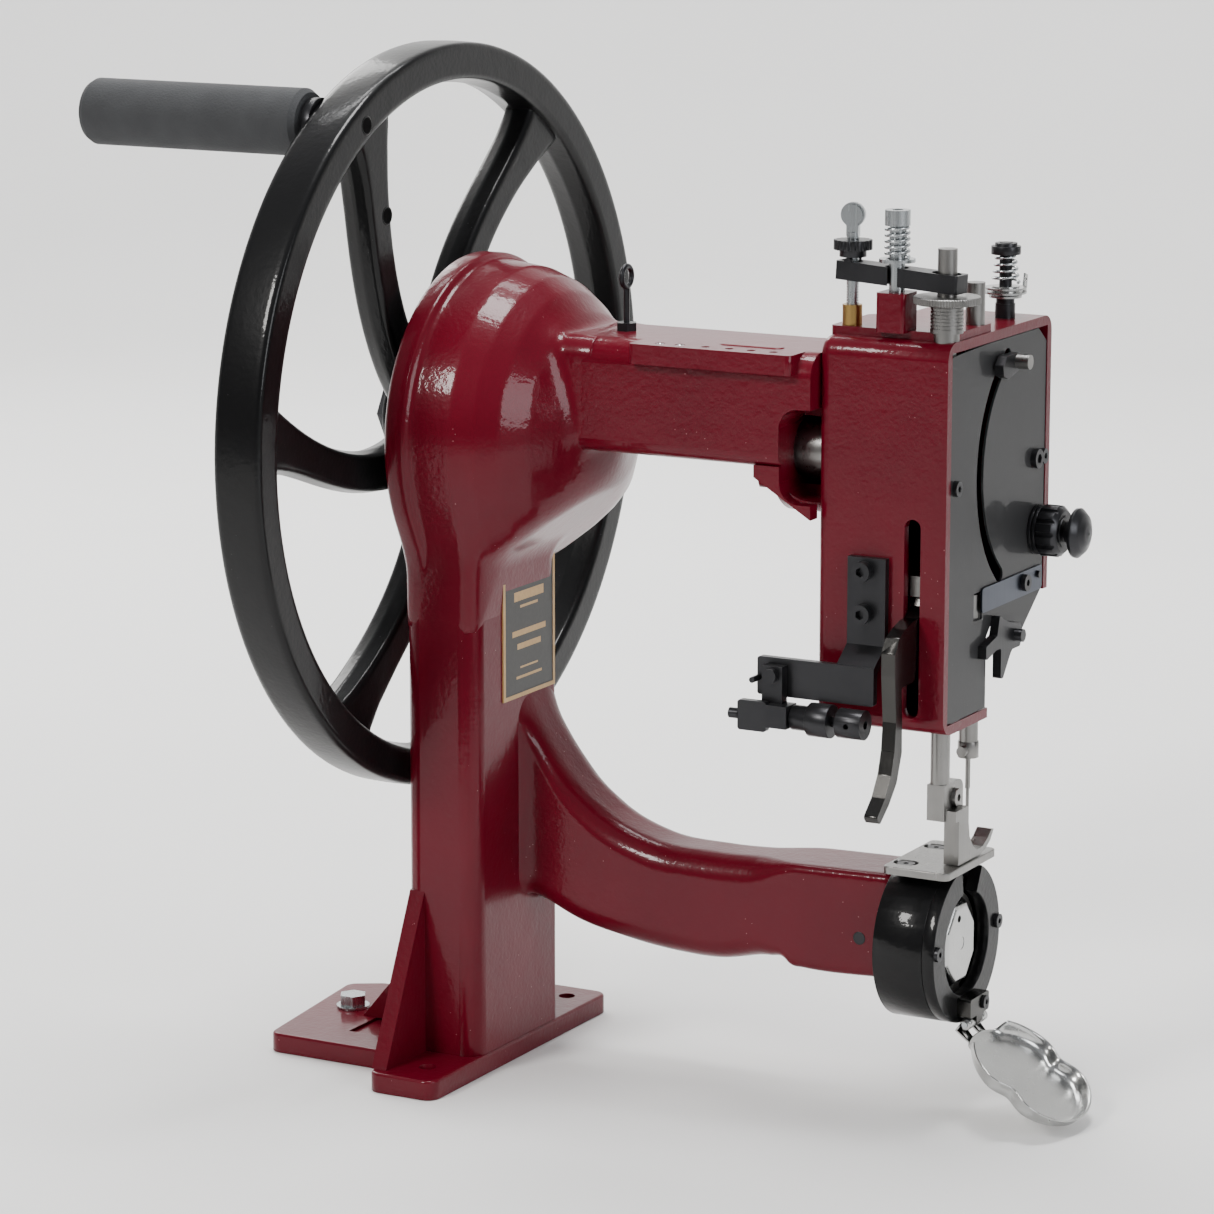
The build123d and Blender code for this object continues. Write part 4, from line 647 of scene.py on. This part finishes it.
# Pale sweep in metres: a wide flat disc a hair under the base that, beyond the object as the camera looks,
# curls up a quarter circle to a wall.
def stageFloor():
    v = {"flat": 2.5, "curl": 1.2, "wall": 4.6, "edge": 16.0, "under": 0.0003,
         "ahead": math.atan2(1.96, -1.07)}
    bend = np.linspace(0, math.pi / 2, 14)
    radius = np.concatenate([[0.001, 0.6, 1.2, 1.8], v["flat"] + v["curl"] * np.sin(bend),
                             [v["flat"] + v["curl"], v["edge"]]])
    height = np.concatenate([[0, 0, 0, 0], v["curl"] * (1 - np.cos(bend)), [v["wall"], v["wall"]]])
    azimuth = np.linspace(0, 2 * math.pi, 96, endpoint=False)
    lift = np.clip(np.cos(azimuth - v["ahead"]) * 1.6 + 0.25, 0, 1)
    lift = lift * lift * (3 - 2 * lift)
    points = points3(radius[:, None] * np.cos(azimuth), radius[:, None] * np.sin(azimuth),
                     height[:, None] * lift - v["under"])
    rows, columns = points.shape[:2]
    r, c = np.meshgrid(np.arange(rows - 1), np.arange(columns), indexing="ij")
    onward = (c + 1) % columns
    near, far = r * columns, (r + 1) * columns
    faces = np.stack([near + c, far + c, far + onward, near + onward], axis=-1)
    mesh = bpy.data.meshes.new("sweep")
    mesh.from_pydata(points.reshape(-1, 3).tolist(), [], faces.reshape(-1, 4).tolist())
    mesh.polygons.foreach_set("use_smooth", np.ones(len(mesh.polygons), bool))
    floorObject = bpy.data.objects.new("sweep", mesh)
    bpy.context.scene.collection.objects.link(floorObject)
    material, tree, shader = newMaterial("floorPaper")
    grain = noiseField(tree, 3, 2)
    tone = mixColour(tree, grain.outputs["Fac"], (0.78, 0.775, 0.765), (0.84, 0.835, 0.825))
    tree.links.new(tone.outputs[2], shader.inputs["Base Color"])
    shader.inputs["Roughness"].default_value = 0.75
    mesh.materials.append(material)


# Sky whose colour runs from dim at and below the horizon to pale overhead.
def stageWorld():
    world = bpy.data.worlds.new("studio")
    bpy.context.scene.world = world
    world.use_nodes = True
    tree = world.node_tree
    coords = node(tree, "ShaderNodeTexCoord")
    split = node(tree, "ShaderNodeSeparateXYZ")
    link(tree, coords, "Generated", split, "Vector")
    rise = node(tree, "ShaderNodeMapRange", From_Min=-0.1, From_Max=0.9)
    link(tree, split, "Z", rise, "Value")
    tone = mixColour(tree, rise.outputs["Result"], (0.06, 0.06, 0.063), (0.5, 0.51, 0.53))
    tree.links.new(tone.outputs[2], tree.nodes["Background"].inputs["Color"])
    tree.nodes["Background"].inputs["Strength"].default_value = 0.8


stageFloor()
stageWorld()
aim = (0.07, 0.03, 0.26)
makeArea("keyLight", (-0.7, -2.1, 1.9), aim, 0.6, 50, (1.0, 0.98, 0.95))
makeArea("fillLight", (2.2, -0.6, 1.0), aim, 1.0, 22, (0.95, 0.97, 1.0))
makeArea("topLight", (0.1, 0.2, 2.3), aim, 0.7, 44, (1.0, 1.0, 1.0))
makeArea("backLight", (-1.6, 1.2, 1.5), aim, 1.0, 26, (1.0, 0.99, 0.97))
makeArea("sweepLight", (-0.6, 1.2, 2.6), (-1.4, 2.9, 0.9), 1.6, 95, (1.0, 1.0, 1.0))

camera = bpy.data.cameras.new("camera")
camera.lens = 135.37
camera.sensor_width = 36.0
cameraObject = bpy.data.objects.new("camera", camera)
cameraObject.location = (1.14742, -1.96100, 0.70053)
target = Vector((0.074117, 0.0, 0.242256))
cameraObject.rotation_euler = (target - cameraObject.location).to_track_quat("-Z", "Y").to_euler()
bpy.context.scene.collection.objects.link(cameraObject)
bpy.context.scene.camera = cameraObject
print("stage set")
